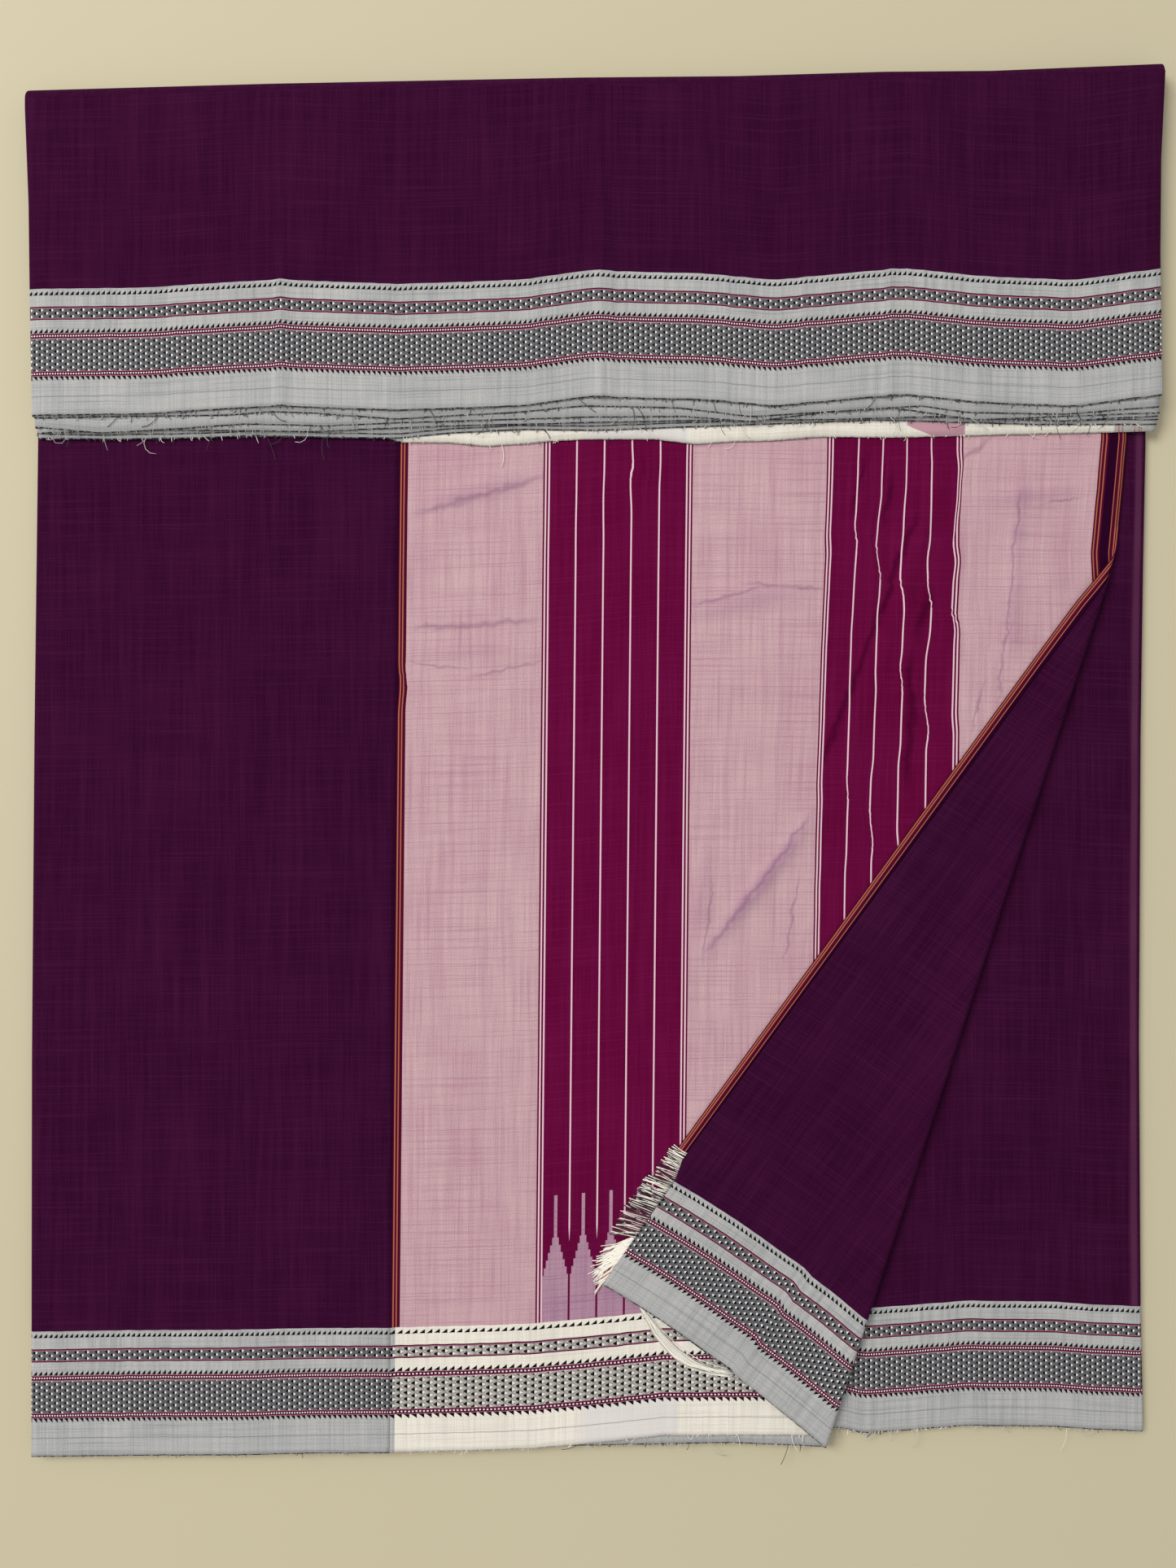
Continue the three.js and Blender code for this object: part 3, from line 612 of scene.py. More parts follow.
# %% [markdown]
# ## The pallu
#
# The pallu is the show end: pink and magenta bands across the cloth, each magenta band edged with maroon
# and white lines and split by four white ones. Below, where a magenta band meets the cream border, a lilac
# weft climbs into it in stepped spikes, a traditional three-shuttle join. The bands are symmetrical, so one
# number, the distance to the nearest band's middle, draws both.

# %% Pallu group
pallu_group, w, given, result = new_group(
    "pallu bands",
    [("Along", FLOAT), ("Up", FLOAT), ("Pink", COLOUR), ("Magenta", COLOUR), ("Lilac", COLOUR)],
    [("Colour", COLOUR), ("End lines", FLOAT)])
along, up = given["Along"], given["Up"]
first_middle, second_middle, band_half, lane = 151.3, 352.4, 53.0, 19.6
from_first = w.math("ABSOLUTE", w.sub(along, first_middle))
from_second = w.math("ABSOLUTE", w.sub(along, second_middle))
from_middle = w.math("MINIMUM", from_first, from_second)
lanes = w.add(w.math("DIVIDE", from_middle, lane), 0.5)
to_lane = w.mul(w.math("ABSOLUTE", w.sub(w.fract(lanes), 0.5)), lane)
band = w.under(from_middle, band_half)
maroon_edge = w.bands(from_middle, (51.8, band_half), (49.4, 50.7))
white_edge = w.bands(from_middle, (50.7, 51.8), (48.3, 49.4))

spike_foot, spike_tip, tread, tread_height = 33.0, 89.5, 1.45, 5.3
foot_half, first_half, needle_half = 9.05, 8.1, 1.15
treads = w.math("FLOOR", w.math("DIVIDE", w.math("MAXIMUM", w.sub(up, spike_foot), 0.0), tread_height))
half_width = w.math("MAXIMUM", w.sub(first_half, w.mul(treads, tread)), needle_half)
half_width = w.mul(half_width, w.under(up, spike_tip))
half_width = w.math("MAXIMUM", half_width, w.mul(w.under(up, spike_foot), foot_half))
spike = w.both(w.under(to_lane, half_width), w.under(from_middle, 48.3))
line_start = 56.0
line_half = w.remap(up, line_start, 66.0, 0.0, 0.55)
lane_line = w.both(
    w.over(to_lane, w.sub(lane / 2, line_half)), w.under(from_middle, 45.0), w.over(up, line_start))
colour = w.mix(given["Pink"], given["Magenta"], band)
colour = w.mix(colour, given["Lilac"], spike)
colour = w.mix(colour, band_white, w.either(white_edge, lane_line))
colour = w.mix(colour, band_maroon, maroon_edge)
first_pair, second_pair = 507.6, 521.3
plum_ground = w.either(w.under(along, 2.2), w.over(along, 504.6))
thin = 0.42
pair_lines = w.either(
    w.near(along, -2.6, thin), w.near(along, -0.4, thin),
    w.near(along, first_pair - 1.4, thin), w.near(along, first_pair + 1.2, thin),
    w.near(along, second_pair - 3.9, 0.3), w.near(along, second_pair - 0.9, thin),
    w.near(along, second_pair + 0.65, 0.35))
pair_ground = w.either(
    w.near(along, -0.8, 3.0), w.near(along, first_pair, 3.0), w.near(along, second_pair, 3.6))
colour = w.mix(colour, plum, plum_ground)
colour = w.mix(colour, maroon, pair_ground)
w.put(result["Colour"], w.mix(colour, orange, pair_lines))
w.put(result["End lines"], w.mul(pair_lines, w.over(along, 500.0)))

# %% [markdown]
# ## Cloth materials
#
# Two materials use these groups. The body is plum with a grey border on both sides; the pallu's borders
# are cream with wider-spaced motifs. The cloth map's second number is the distance from the nearer
# selvedge, so one chart serves both borders. Cotton gets a weak sheen and a high roughness.

# %% Cloth materials
def place_group(tree, group, **values):
    """One use of a node group: sockets are linked or set by name, _ standing for a space."""
    node = tree.nodes.new("ShaderNodeGroup")
    node.node_tree = group
    for key, value in values.items():
        key = key.replace("_", " ")
        if isinstance(value, bpy.types.NodeSocket):
            tree.links.new(value, node.inputs[key])
        else:
            node.inputs[key].default_value = value
    return node.outputs


def cloth_material(name, build):
    """A cotton shader: colour and height come from build(weaver, along, up, marks), in mm on the cloth."""
    material = bpy.data.materials.new(name)
    material.use_nodes = True
    tree = material.node_tree
    shader = tree.nodes["Principled BSDF"]
    flat_map = tree.nodes.new("ShaderNodeUVMap")
    flat_map.uv_map = "cloth"
    split = tree.nodes.new("ShaderNodeSeparateXYZ")
    tree.links.new(flat_map.outputs[0], split.inputs[0])
    weaver = Weaver(tree)
    marks = tree.nodes.new("ShaderNodeAttribute")
    marks.attribute_name = "marks"
    colour, height = build(weaver, split.outputs[0], split.outputs[1], marks.outputs["Fac"])
    tree.links.new(colour, shader.inputs["Base Color"])
    shader.inputs["Roughness"].default_value = 0.92
    shader.inputs["Specular IOR Level"].default_value = 0.02
    shader.inputs["Sheen Weight"].default_value = 0.01
    shader.inputs["Sheen Roughness"].default_value = 0.4
    bump = tree.nodes.new("ShaderNodeBump")
    bump.inputs["Strength"].default_value = 0.55
    bump.inputs["Distance"].default_value = 0.0003
    tree.links.new(height, bump.inputs["Height"])
    tree.links.new(bump.outputs[0], shader.inputs["Normal"])
    print("material:", name)
    return material


def ground_of(weaver, along, up, colour, pick, slubs=0.4):
    """Colour and height of one handloom ground."""
    made = place_group(weaver.tree, loom, Along=along, Across=up, Ground=colour, Pick=pick, Slubs=slubs)
    return made["Colour"], made["Height"]


# %% [markdown]
# Old creases are sharper than a grid of four millimetres can bend, so the shade of the finest of them is
# painted as dark lines in the pallu's colour. Each line wanders a little and fades towards both of its ends.

# %% Crease lines
pink_crease_shade_lines = [
    # along 1, up 1, along 2, up 2 on the cloth map, width of the dark line
    (448, 675, 432, 515, 1.7), (390, 682, 432, 713, 2.6), (428, 539, 458, 533, 1.4),
    (413, 492, 424, 540, 1.4), (460, 659, 500, 668, 1.8), (236, 606, 305, 600, 1.7),
    (300, 446, 212, 337, 2.6), (0, 562, 50, 555, 1.5), (200, 588, 262, 604, 2.0),
    (4, 665, 104, 691, 3.4), (44, 548, 104, 560, 1.5), (222, 400, 214, 330, 1.5),
    (288, 408, 276, 330, 1.5), (0, 585, 100, 588, 3.0),
]
magenta_crease_shade_lines = [
    # the same columns
    (385, 609, 370, 563, 5.0), (370, 563, 368, 455, 5.0), (375, 660, 296, 460, 4.0),
    (352, 690, 345, 640, 4.0), (330, 700, 318, 650, 3.0), (166, 700, 171, 680, 3.0),
]


def crease_shade_mask(weaver, along, up, rows):
    """Painted crease shade as dark fine lines: 1 - distance / width from each line, fading towards both of
    its ends.
    """
    total = 0.0
    fade = 18.0
    unrest = weaver.noise(weaver.mul(along, 0.09), weaver.mul(up, 0.09), 1.0, 2.0)
    unrest = weaver.mul(weaver.sub(unrest, 0.5), 9.0)
    for along_1, up_1, along_2, up_2, width in rows:
        run = math.hypot(along_2 - along_1, up_2 - up_1)
        run_along, run_up = (along_2 - along_1) / run, (up_2 - up_1) / run
        from_along, from_up = weaver.sub(along, along_1), weaver.sub(up, up_1)
        onward = weaver.add(weaver.mul(from_along, run_along), weaver.mul(from_up, run_up))
        aside = weaver.sub(weaver.mul(from_up, run_along), weaver.mul(from_along, run_up))
        aside = weaver.math("ABSOLUTE", weaver.add(aside, unrest))
        ends = weaver.mul(weaver.remap(onward, 0.0, fade), weaver.remap(onward, run - fade, run, 1.0, 0.0))
        line = weaver.mul(weaver.remap(aside, 0.0, width, 1.0, 0.0), ends)
        total = weaver.math("MAXIMUM", total, line)
    return total


# %% [markdown]
# The two cloths are put together here: each picks the border's chart or its own ground by how far the
# point lies from the selvedge.

# %% Body and pallu colours
def body_colours(weaver, along, up, marks):
    """Plum beyond the border's width, the grey border within it."""
    plum_colour, plum_height = ground_of(weaver, along, up, plum, plum_pick)
    plum_colour = weaver.mix(plum_colour, plum_sheer, marks)
    grey_colour, _ = ground_of(weaver, along, up, grey, grey_pick, 0.1)
    out_from_plum = weaver.sub(border_width, up)
    made = place_group(
        weaver.tree, border, Along=along, Out=out_from_plum, Pitch=3.66, Depth=0.78,
        Ground=grey_colour, Shade=white, Worn_edge=worn_grey_edge)
    in_border = weaver.over(out_from_plum, 0.0)
    height = weaver.add(plum_height, weaver.mul(weaver.mul(made["Raised"], in_border), 0.8))
    return weaver.mix(plum_colour, made["Colour"], in_border), height


def cream_ground(weaver, along, up):
    """Cream between the pallu's ends, cooler where it is doubled, with a pink mark; grey beyond them."""
    cream_colour, _ = ground_of(weaver, along, up, cream, cream_pick, 0.1)
    grey_colour, _ = ground_of(weaver, along, up, grey, grey_pick, 0.1)
    doubled = weaver.mul(weaver.remap(along, 127.0, 134.0, 0.0, 0.6), weaver.remap(along, 202.0, 198.0))
    cream_colour = weaver.mix(cream_colour, cool_cream, weaver.mul(doubled, weaver.under(up, 27.0)))
    mark_start, mark_end = 356.0, 397.0
    mark_low = weaver.sub(8.5, weaver.mul(weaver.sub(along, mark_start), 0.45))
    mark = weaver.both(
        weaver.within(along, mark_start, mark_end), weaver.over(up, mark_low), weaver.under(up, 40.0))
    cream_colour = weaver.mix(cream_colour, pink_mark, weaver.mul(mark, 0.9))
    return weaver.mix(grey_colour, cream_colour, weaver.within(along, -0.9, 503.0))


def pallu_colours(weaver, along, up, marks):
    """Bands above the border's width, the cream border within it."""
    pink_colour, height = ground_of(weaver, along, up, pink, pink_pick, 0.6)
    # Painted crease shade along the crease ridges, partly also doubled sheer cloth showing through.
    pink_colour = weaver.mix(pink_colour, pink_doubling_and_crease_shade, weaver.mul(marks, 0.38))
    # The finest creases of the pink: painted shade drawn as dark lines.
    pink_shade_line = crease_shade_mask(weaver, along, up, pink_crease_shade_lines)
    pink_colour = weaver.mix(pink_colour, pink_crease_shade, weaver.mul(pink_shade_line, 0.42))
    magenta_colour, _ = ground_of(weaver, along, up, magenta, magenta_pick, 0.2)
    # The creases of the magenta bands: painted shade drawn as dark lines.
    magenta_shade_line = crease_shade_mask(weaver, along, up, magenta_crease_shade_lines)
    magenta_colour = weaver.mix(magenta_colour, magenta_crease_shade, weaver.mul(magenta_shade_line, 0.6))
    above = weaver.sub(up, border_width)
    lilac_colour, _ = ground_of(weaver, along, up, lilac, lilac_pick, 0.2)
    bands = place_group(weaver.tree, pallu_group, Along=along, Up=above,
                        Pink=pink_colour, Magenta=magenta_colour, Lilac=lilac_colour)
    out_from_bands = weaver.mul(above, -1.0)
    made = place_group(
        weaver.tree, border, Along=along, Out=out_from_bands, Pitch=5.3, Depth=0.43,
        Ground=cream_ground(weaver, along, up), Shade=cream, Worn_edge=worn_cream_edge)
    edged = weaver.mix(made["Colour"], orange, weaver.mul(bands["End lines"], 0.8))
    in_border = weaver.over(out_from_bands, 0.0)
    tall = weaver.add(height, weaver.mul(weaver.mul(made["Raised"], in_border), 0.8))
    return weaver.mix(bands["Colour"], edged, in_border), tall


body_material = cloth_material("plum body cloth", body_colours)
pallu_material = cloth_material("pallu cloth", pallu_colours)

# %% [markdown]
# ## Layers that go all the way round
#
# The outermost layer lies on the ground, rises round the upper fold and comes down over the front. The
# layers inside it do the same, each a little inside the last, with its selvedge stepping out below. One
# function makes them all: rows run up the lower panel, round a half circle, and down to the selvedge.

# %% Folded layers
leg_top, bend_level = 440, 472  # where the side lines are read: the lower leg's top, and the bend
upper_start, upper_end = 480, 240  # the same for the upper leg, from the bend down to its selvedge
bend_count = 300  # each leg's map counts from its own selvedge, and the bend's lies between the two


def folded_layer(name, low, high, columns, hem, selvedge, rows, edges, low_start=None, crease=None):
    """Rows go from the lower hem up the panel, round the upper fold, and back to the upper selvedge.

    rows gives how many lie on the lower leg, on the bend and on the upper leg; edges gives the four
    side lines: left and right on the lower leg, left and right on the upper one."""
    lower_rows, bend_rows, upper_rows = rows
    leg_start = hem_line if low_start is None else low_start
    radius = (high - low) / 2
    middle_height = (high + low) / 2
    places, facing, flat = [], [], []
    for share in np.linspace(0, 1, lower_rows):
        rough = leg_start + (leg_top - leg_start) * share
        x = column_x(columns, edges[0](rough), edges[1](rough))
        bend_y = fold_top(x) - bend_ahead
        start = hem(x) if low_start is None else np.full_like(x, low_start)
        y = start + (bend_y - start) * share
        z = low + columns["depth"]
        places.append(np.stack([x, y, z], axis=1))
        facing.append(np.stack([columns["sideways"], 0 * x, -columns["up"]], axis=1))
        flat.append(np.stack([x, y - hem(x)], axis=1))
    whole = (fold_top(0) - bend_ahead) - hem_line
    for angle in np.linspace(0, math.pi, bend_rows + 2)[1:-1]:
        x = column_x(columns, edges[2](bend_level), edges[3](bend_level))
        reach = radius - columns["depth"]
        y = fold_top(x) - bend_ahead + reach * math.sin(angle)
        z = middle_height - reach * math.cos(angle)
        places.append(np.stack([x, y, z], axis=1))
        out_y, out_z = math.sin(angle), -math.cos(angle)
        facing.append(np.stack([columns["sideways"], out_y * columns["up"], out_z * columns["up"]], axis=1))
        flat.append(np.stack([x, 0 * x + whole + radius * angle - bend_count], axis=1))
    for share in np.linspace(0, 1, upper_rows):
        rough = upper_start + (upper_end - upper_start) * share
        x = column_x(columns, edges[2](rough), edges[3](rough))
        bend_y = fold_top(x) - bend_ahead
        y = bend_y + (selvedge(x) - bend_y) * share
        lift = crease(x, y, 1 - share) * (columns["depth"] == 0) if crease else 0
        z = high - columns["depth"] + lift
        places.append(np.stack([x, y, z], axis=1))
        facing.append(np.stack([columns["sideways"], 0 * x, columns["up"]], axis=1))
        flat.append(np.stack([x, y - selvedge(x)], axis=1))
    return sheet_mesh(name, np.array(places), np.array(facing), np.array(flat))


def fold_lift(x, y, share):
    """Upright creases of the turned-down part: height x exp(-((x - at) / width) squared), fading upwards."""
    lift = 0.5 * ripple(x, y, 130, 8) * smooth(1 - share, 0, 0.1)
    for at, width, height, reach in fold_creases:
        lift = lift + height * np.exp(-((x - at) / width) ** 2) * (1 - smooth(share, reach * 0.5, reach))
    return lift


outer_wave = wandering(outer_selvedge, 3)
crease_columns = np.concatenate([
    np.linspace(-2.4 * width, 2.4 * width, 9) + at for at, width, height, reach in fold_creases])
outer_x = np.unique(np.round(np.concatenate([crease_columns, np.linspace(-388, 390, 130)]), 1))
fold_low, fold_width = -397, 797
outer_columns = columns_across((outer_x - fold_low) / fold_width, left_depth=3.2, right_depth=1.3)
edges = (left_edge, right_edge, fold_left, fold_right)
outer_cloth = folded_layer(
    "outer_cloth", *heights["outer"], outer_columns, hidden_hem, outer_wave, (40, 14, 60), edges,
    crease=fold_lift)
outer_cloth.data.materials.append(body_material)
declare(outer_cloth, ("back_layer", "outer_fold"))

# %% [markdown]
# ## The layers inside
#
# Seven more layers lie within the outer one. Each selvedge steps out a little further below the outer
# one, as the fold eats more cloth on the outside. They are made by the same function, with smaller bends.
# The innermost is the pallu's layer, so its border is grey on the left and cream from the pallu's start on.

# %% Layers inside the fold
inner_columns = columns_across(inner_shares(150))


def moved(line, by):
    """The same line, moved by a number of millimetres."""
    return lambda where: line(where) + by


visible_selvedges = {
    # x, y of each edge that steps out under the turned-down part's own selvedge
    "seventh": follow(
        (-396, 239), (-260, 241), (-230, 243.5), (-194, 242.4), (-140, 238.1), (-102, 240.5), (-50, 243.5),
        (-8, 247.5), (60, 246), (110, 240), (175, 244), (230, 247.5), (262, 243), (330, 241.5), (398, 247)),
    "sixth": follow(
        (-396, 233), (-350, 228.6), (-290, 232), (-247, 235), (-192, 233.6), (-136, 236), (-50, 238.4),
        (-8, 239.9), (60, 240.5), (110, 236.5), (160, 243), (205, 247), (240, 242), (270, 238), (398, 243)),
    "fifth": follow(
        (-396, 229), (-300, 231), (-200, 230), (-100, 234), (0, 236.5), (90, 238), (170, 238.5), (260, 241),
        (330, 237.5), (398, 241)),
    "end": follow(
        (-396, 226), (-345, 225), (-282, 226.3), (-240, 228), (-185, 226.4), (-140, 225.9), (-102, 229.6),
        (-53, 231.8), (0, 231.5), (42, 232.9), (96, 235), (151, 236.9), (194, 238.7), (234, 238),
        (268, 237), (310, 235.5), (398, 235.8)),
    "top": follow(
        (-396, 228), (-150, 227), (-138, 223.2), (-105, 223.2), (-76, 220.6), (-52, 222.2), (-30, 224.4),
        (-8, 225.5), (42, 225.5), (72, 221.9), (96, 223.8), (124, 224.6), (160, 227.4), (216, 226.9),
        (279, 228.5), (362, 230.3), (398, 231.3)),
}


def own_selvedge(key, wander_seed):
    """A layer's own selvedge with its small waves."""
    return lambda x: visible_selvedges[key](x) + 0.6 * hem_wander(x, wander_seed)


def hidden_selvedge(key, above, wander_seed):
    """The selvedge of a layer that stays a little inside another one's."""
    return lambda x: visible_selvedges[key](x) + above + hem_wander(x, wander_seed)


inside_layers = [
    # name, key, low insets left and right, high insets left and right, hem rise, selvedge
    ("seventh_layer", "seventh", 4.0, 9.5, 1.6, 2.2, 1.0, own_selvedge("seventh", 31)),
    ("sixth_layer", "sixth", 4.5, 9.5, 2.6, 1.0, 2.0, own_selvedge("sixth", 32)),
    ("fifth_layer", "fifth", 9.5, 4.0, 6.5, 2.4, 3.0, own_selvedge("fifth", 33)),
    ("fourth_layer", "fourth", 9.5, 4.5, 1.2, 3.0, 4.0, hidden_selvedge("fifth", 3.5, 34)),
]
for name, key, low_left, low_right, high_left, high_right, rise, selvedge in inside_layers:
    edges = (
        moved(left_edge, low_left), moved(right_edge, -low_right),
        moved(fold_left, high_left), moved(fold_right, -high_right))
    layer = folded_layer(
        name, *heights[key], inner_columns, moved(hidden_hem, rise), selvedge, (24, 10, 30), edges)
    layer.data.materials.append(body_material)
    declare(layer)
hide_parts("inner_layers")

tuck_start = 290
short_layers = [
    # name, key, high insets left and right, selvedge
    ("third_fold", "right", 2.4, 1.2, hidden_selvedge("end", 2.8, 35)),
    ("second_fold", "end", 3.0, 2.0, own_selvedge("end", 36)),
]
for name, key, high_left, high_right, selvedge in short_layers:
    edges = (
        moved(left_edge, 6), moved(right_edge, -6),
        moved(fold_left, high_left), moved(fold_right, -high_right))
    layer = folded_layer(
        name, *heights[key], inner_columns, hidden_hem, selvedge, (10, 8, 30), edges, low_start=tuck_start)
    layer.data.materials.append(body_material)
    declare(layer)

# %% [markdown]
# The innermost layer's border is the strip that shows lowest on the front. It has two materials: its faces
# left of the pallu's start are the body's.

# %% Innermost layer
def split_materials(piece, first, second, start_u):
    """Faces whose place on the cloth lies before start_u take the first material, the others the second."""
    mesh = piece.data
    mesh.materials.append(first)
    mesh.materials.append(second)
    places = np.empty(len(mesh.loops) * 2, np.float32)
    mesh.uv_layers["cloth"].data.foreach_get("uv", places)
    starts = np.empty(len(mesh.polygons), np.int32)
    mesh.polygons.foreach_get("loop_start", starts)
    index = (places.reshape(-1, 2)[starts, 0] > start_u).astype(np.int32)
    mesh.polygons.foreach_set("material_index", index)


edges = (moved(left_edge, 6), moved(right_edge, -6), moved(fold_left, 1.4), moved(fold_right, -2.6))
innermost_cloth = folded_layer(
    "innermost_cloth", *heights["top"], columns_across(inner_shares(260)), hidden_hem,
    own_selvedge("top", 37), (10, 8, 40), edges, low_start=tuck_start)
cloth_map = innermost_cloth.data.uv_layers["cloth"].data
flat_places = np.empty(len(cloth_map) * 2, np.float32)
cloth_map.foreach_get("uv", flat_places)
pallu_shift = 135  # the pallu begins this far left of the middle, and its map counts from there
flat_places[0::2] += pallu_shift
cloth_map.foreach_set("uv", flat_places)
split_materials(innermost_cloth, body_material, pallu_material, -4)
declare(innermost_cloth, ("turned_border",))

# %% [markdown]
# ## The stretch on the right
#
# The third layer shows only where the corner of the two above it is turned away. Its right side is a fold:
# the cloth goes round it to the layer under it.

# %% Third layer
tuck_end = 286


def flat_rows(spacing):
    """Row heights from the hem to where the turned-down part hides them."""
    return np.linspace(hem_line, tuck_end, int((tuck_end - hem_line) / spacing) + 1)


def plain_layer(name, height, columns, hem, edges, rows, lift=None, marks_of=None):
    """A flat layer of the lower panel, with its creases."""
    places, facing, flat, marks = [], [], [], []
    for row_y in rows:
        x = column_x(columns, edges[0](row_y), edges[1](row_y))
        y = bend_to_hem(row_y, hem, x)
        raised = lift(x, y) * (columns["depth"] == 0) if lift else 0
        places.append(np.stack([x, y, height - columns["depth"] + raised], axis=1))
        facing.append(np.stack([columns["sideways"], 0 * x, columns["up"]], axis=1))
        flat.append(np.stack([x, y - hem(x)], axis=1))
        marks.append(marks_of(x, y) if marks_of else 0 * x)
    return sheet_mesh(name, np.array(places), np.array(facing), np.array(flat), np.array(marks))


def right_lift(x, y):
    """Soft swells where the third layer shows, beside the turned corner."""
    beside = smooth(x, 250, 300) * (1 - smooth(y, 60, 120))
    return beside * (0.9 * ripple(x, y, 160, 21))


def sheer_side(x, y):
    """A paler strip beside the fold on the right, where fewer layers lie under the cloth."""
    inward = right_edge(y) - x + 1.5 * (ripple(x * 0, y, 120, 44) - 0.5)
    return smooth(inward, 2.2, 3.4) * (1 - smooth(inward, 6.5, 8.5)) * (0.7 + 0.3 * ripple(x * 0, y, 40, 45))


right_wave = wandering(right_hem, 41)
right_shares = np.concatenate([inner_shares(150) * 0.97, np.linspace(0.972, 0.999, 16)])
right_columns = columns_across(right_shares, right_depth=heights["right"][0] - heights["sixth"][0])
right_cloth = plain_layer(
    "right_cloth", heights["right"][0], right_columns, right_wave, (moved(left_edge, 5), right_edge),
    flat_rows(5), right_lift, sheer_side)
right_cloth.data.materials.append(body_material)
declare(right_cloth, ("right_stretch",))

# %% [markdown]
# ## The turned corner's two layers
#
# Rows run along the cloth. Columns are shared out between the start and the turning line, then closely
# round the bend, then on to the cloth's cut end. Above the turn there is no cloth beyond the line, so those
# columns fall together at the end.

# %% Layers that turn over
def x_at_beyond(beyond, row_y):
    """X on a row where the cloth lies this far beyond the turning line."""
    return turn_top[0] + (beyond + turn_centre - (row_y - turn_top[1]) * across_turn[1]) / across_turn[0]


def turning_columns(start, end, radius, row_y, before, after):
    """X of one row's columns: before the turn, round it, and after it, none past the cloth's end."""
    margin, bend_columns = 0.4, 15
    round_bend = np.linspace(-margin, math.pi * radius + margin, bend_columns)
    bend_x = np.minimum(x_at_beyond(round_bend, row_y), end)
    first = np.linspace(start, bend_x[0], before, endpoint=False)
    last = np.linspace(bend_x[-1], end, after + 1)[1:]
    return np.concatenate([first, bend_x, last])


def turned_layer(
        name, height, settled, radius, starts, ends, hem, rows, before, after, lift, along_of, flap_lift):
    """A layer whose lower right corner is turned over: its rows, columns and map, then the turn."""
    x = np.array([turning_columns(starts(y), ends(y), radius, y, before, after) for y in rows])
    y = bend_to_hem(rows[:, None], hem, x)
    places, facing, back = turn_over(x, y, radius, height, settled, lift(x, y))
    on_flap = smooth(back, 4, 30)
    places[..., 2] += on_flap * flap_lift(places[..., 0], places[..., 1])
    flat = np.stack([along_of(x, y), y - hem(x)], axis=2)
    flat[..., 1] += (back > 0) * tuck_shift(places[..., 0], places[..., 1], flap_tucks)
    # Painted crease shade: marks grow with the crease ridges' height, partly doubled cloth showing through;
    # none on the turned part.
    marks = np.clip(lift(x, y) / 2.2, 0, 1) ** 2 * (back == 0)
    return sheet_mesh(name, places, facing, flat, marks)


flap_tucks = [(148, -367, 100, -434, 1.3)]
flap_ridges = [
    # x1, y1, x2, y2, width, height
    (148, -367, 100, -434, 4, 1.5), (150, -380, 190, -340, 7, 1.2), (60, -400, 150, -470, 6, 0.9),
    (70, -330, 130, -300, 8, 0.6), (180, -200, 260, -160, 9, 0.6), (150, -470, 90, -400, 4, 0.7),
]


def flap_swell(x, y):
    """Creases of the turned corner: one across its border, and slow swells."""
    return ridge_lift(x, y, flap_ridges) + 0.5 * ripple(x, y, 110, 13)


def no_swell(x, y):
    """No crease anywhere."""
    return 0 * x


end_wave = wandering(end_hem, 42)
inner_end_cloth = turned_layer(
    "inner_end_cloth", heights["end"][0], 11.0, end_radius, moved(left_edge, 4.6), inner_end, end_wave,
    flat_rows(5), 90, 60, no_swell, lambda x, y: x, flap_swell)
inner_end_cloth.data.materials.append(body_material)
declare(inner_end_cloth, ("inner_end",))

# %% [markdown]
# The top layer is made in two pieces, as it has two cloths: the plum body, which turns under at the left
# fold, and the pallu. The pallu's bands lean a little and draw together where the cloth is puckered, so
# its map counts some millimetres more than the place on the table.

# %% Top layer
pucker_depth = 9.5
pucker_low, pucker_high = -40, 226  # y of its foot and of its upper end
pucker_foot = (74, 212.7)  # from x and to x at its foot
pucker_lean = (94.8, 43.9)  # how much further to the right both are at its upper end
cloth_end = 523


def pallu_along(x, y):
    """Millimetres along the pallu: distance from its start, plus the cloth taken up by the pucker."""
    high = np.clip((y - pucker_low) / (pucker_high - pucker_low), 0, 1)
    from_x, to_x = (foot + lean * high for foot, lean in zip(pucker_foot, pucker_lean))
    pucker = pucker_depth * smooth(x, from_x, to_x)
    wobble = 1.6 * (ripple(x, y, 110, 17) - 0.5) * smooth(x, 60, 160)
    plain = x - pallu_start(y) + pucker + wobble + tuck_shift(x, y, tucks)
    from_end = cloth_end - (top_end(y) - x)
    return plain + (from_end - plain) * smooth(x, top_end(y) - 90, top_end(y) - 14)


def unravelled_end(y):
    """Where the pallu's cloth ends: beside its border the weft is gone and the warp is the fringe."""
    return top_end(y) - 14 * (1 - smooth(y, -392, -384))


tucks = [
    # x1, y1, x2, y2, shift of the cloth across it
    (186, 160, 214, 120, 2.6), (238, 118, 252, 96, 3.0), (217, 60, 240, 20, 2.2), (262, 206, 250, 150, 2.0),
    (180, -20, 200, -60, 1.8), (24, 206, 34, 196, -1.2), (-134, 60, -128, 50, 1.4),
]


top_wave = wandering(top_hem, 43)
body_columns = columns_across(inner_shares(62), left_depth=heights["top"][0] - heights["fourth"][0])
body_columns["flat_right"] = 0.0
seam = moved(pallu_start, -4.2)
body_cloth = plain_layer(
    "body_cloth", heights["top"][0], body_columns, top_wave, (left_edge, seam), flat_rows(4), top_lift)
body_cloth.data.materials.append(body_material)
declare(body_cloth, ("body_stretch",))

pallu_cloth = turned_layer(
    "pallu_cloth", heights["top"][0], 9.7, top_radius, seam, unravelled_end, top_wave, flat_rows(4),
    120, 40, top_lift, pallu_along, no_swell)
pallu_cloth.data.materials.append(pallu_material)
declare(pallu_cloth, ("pallu",))

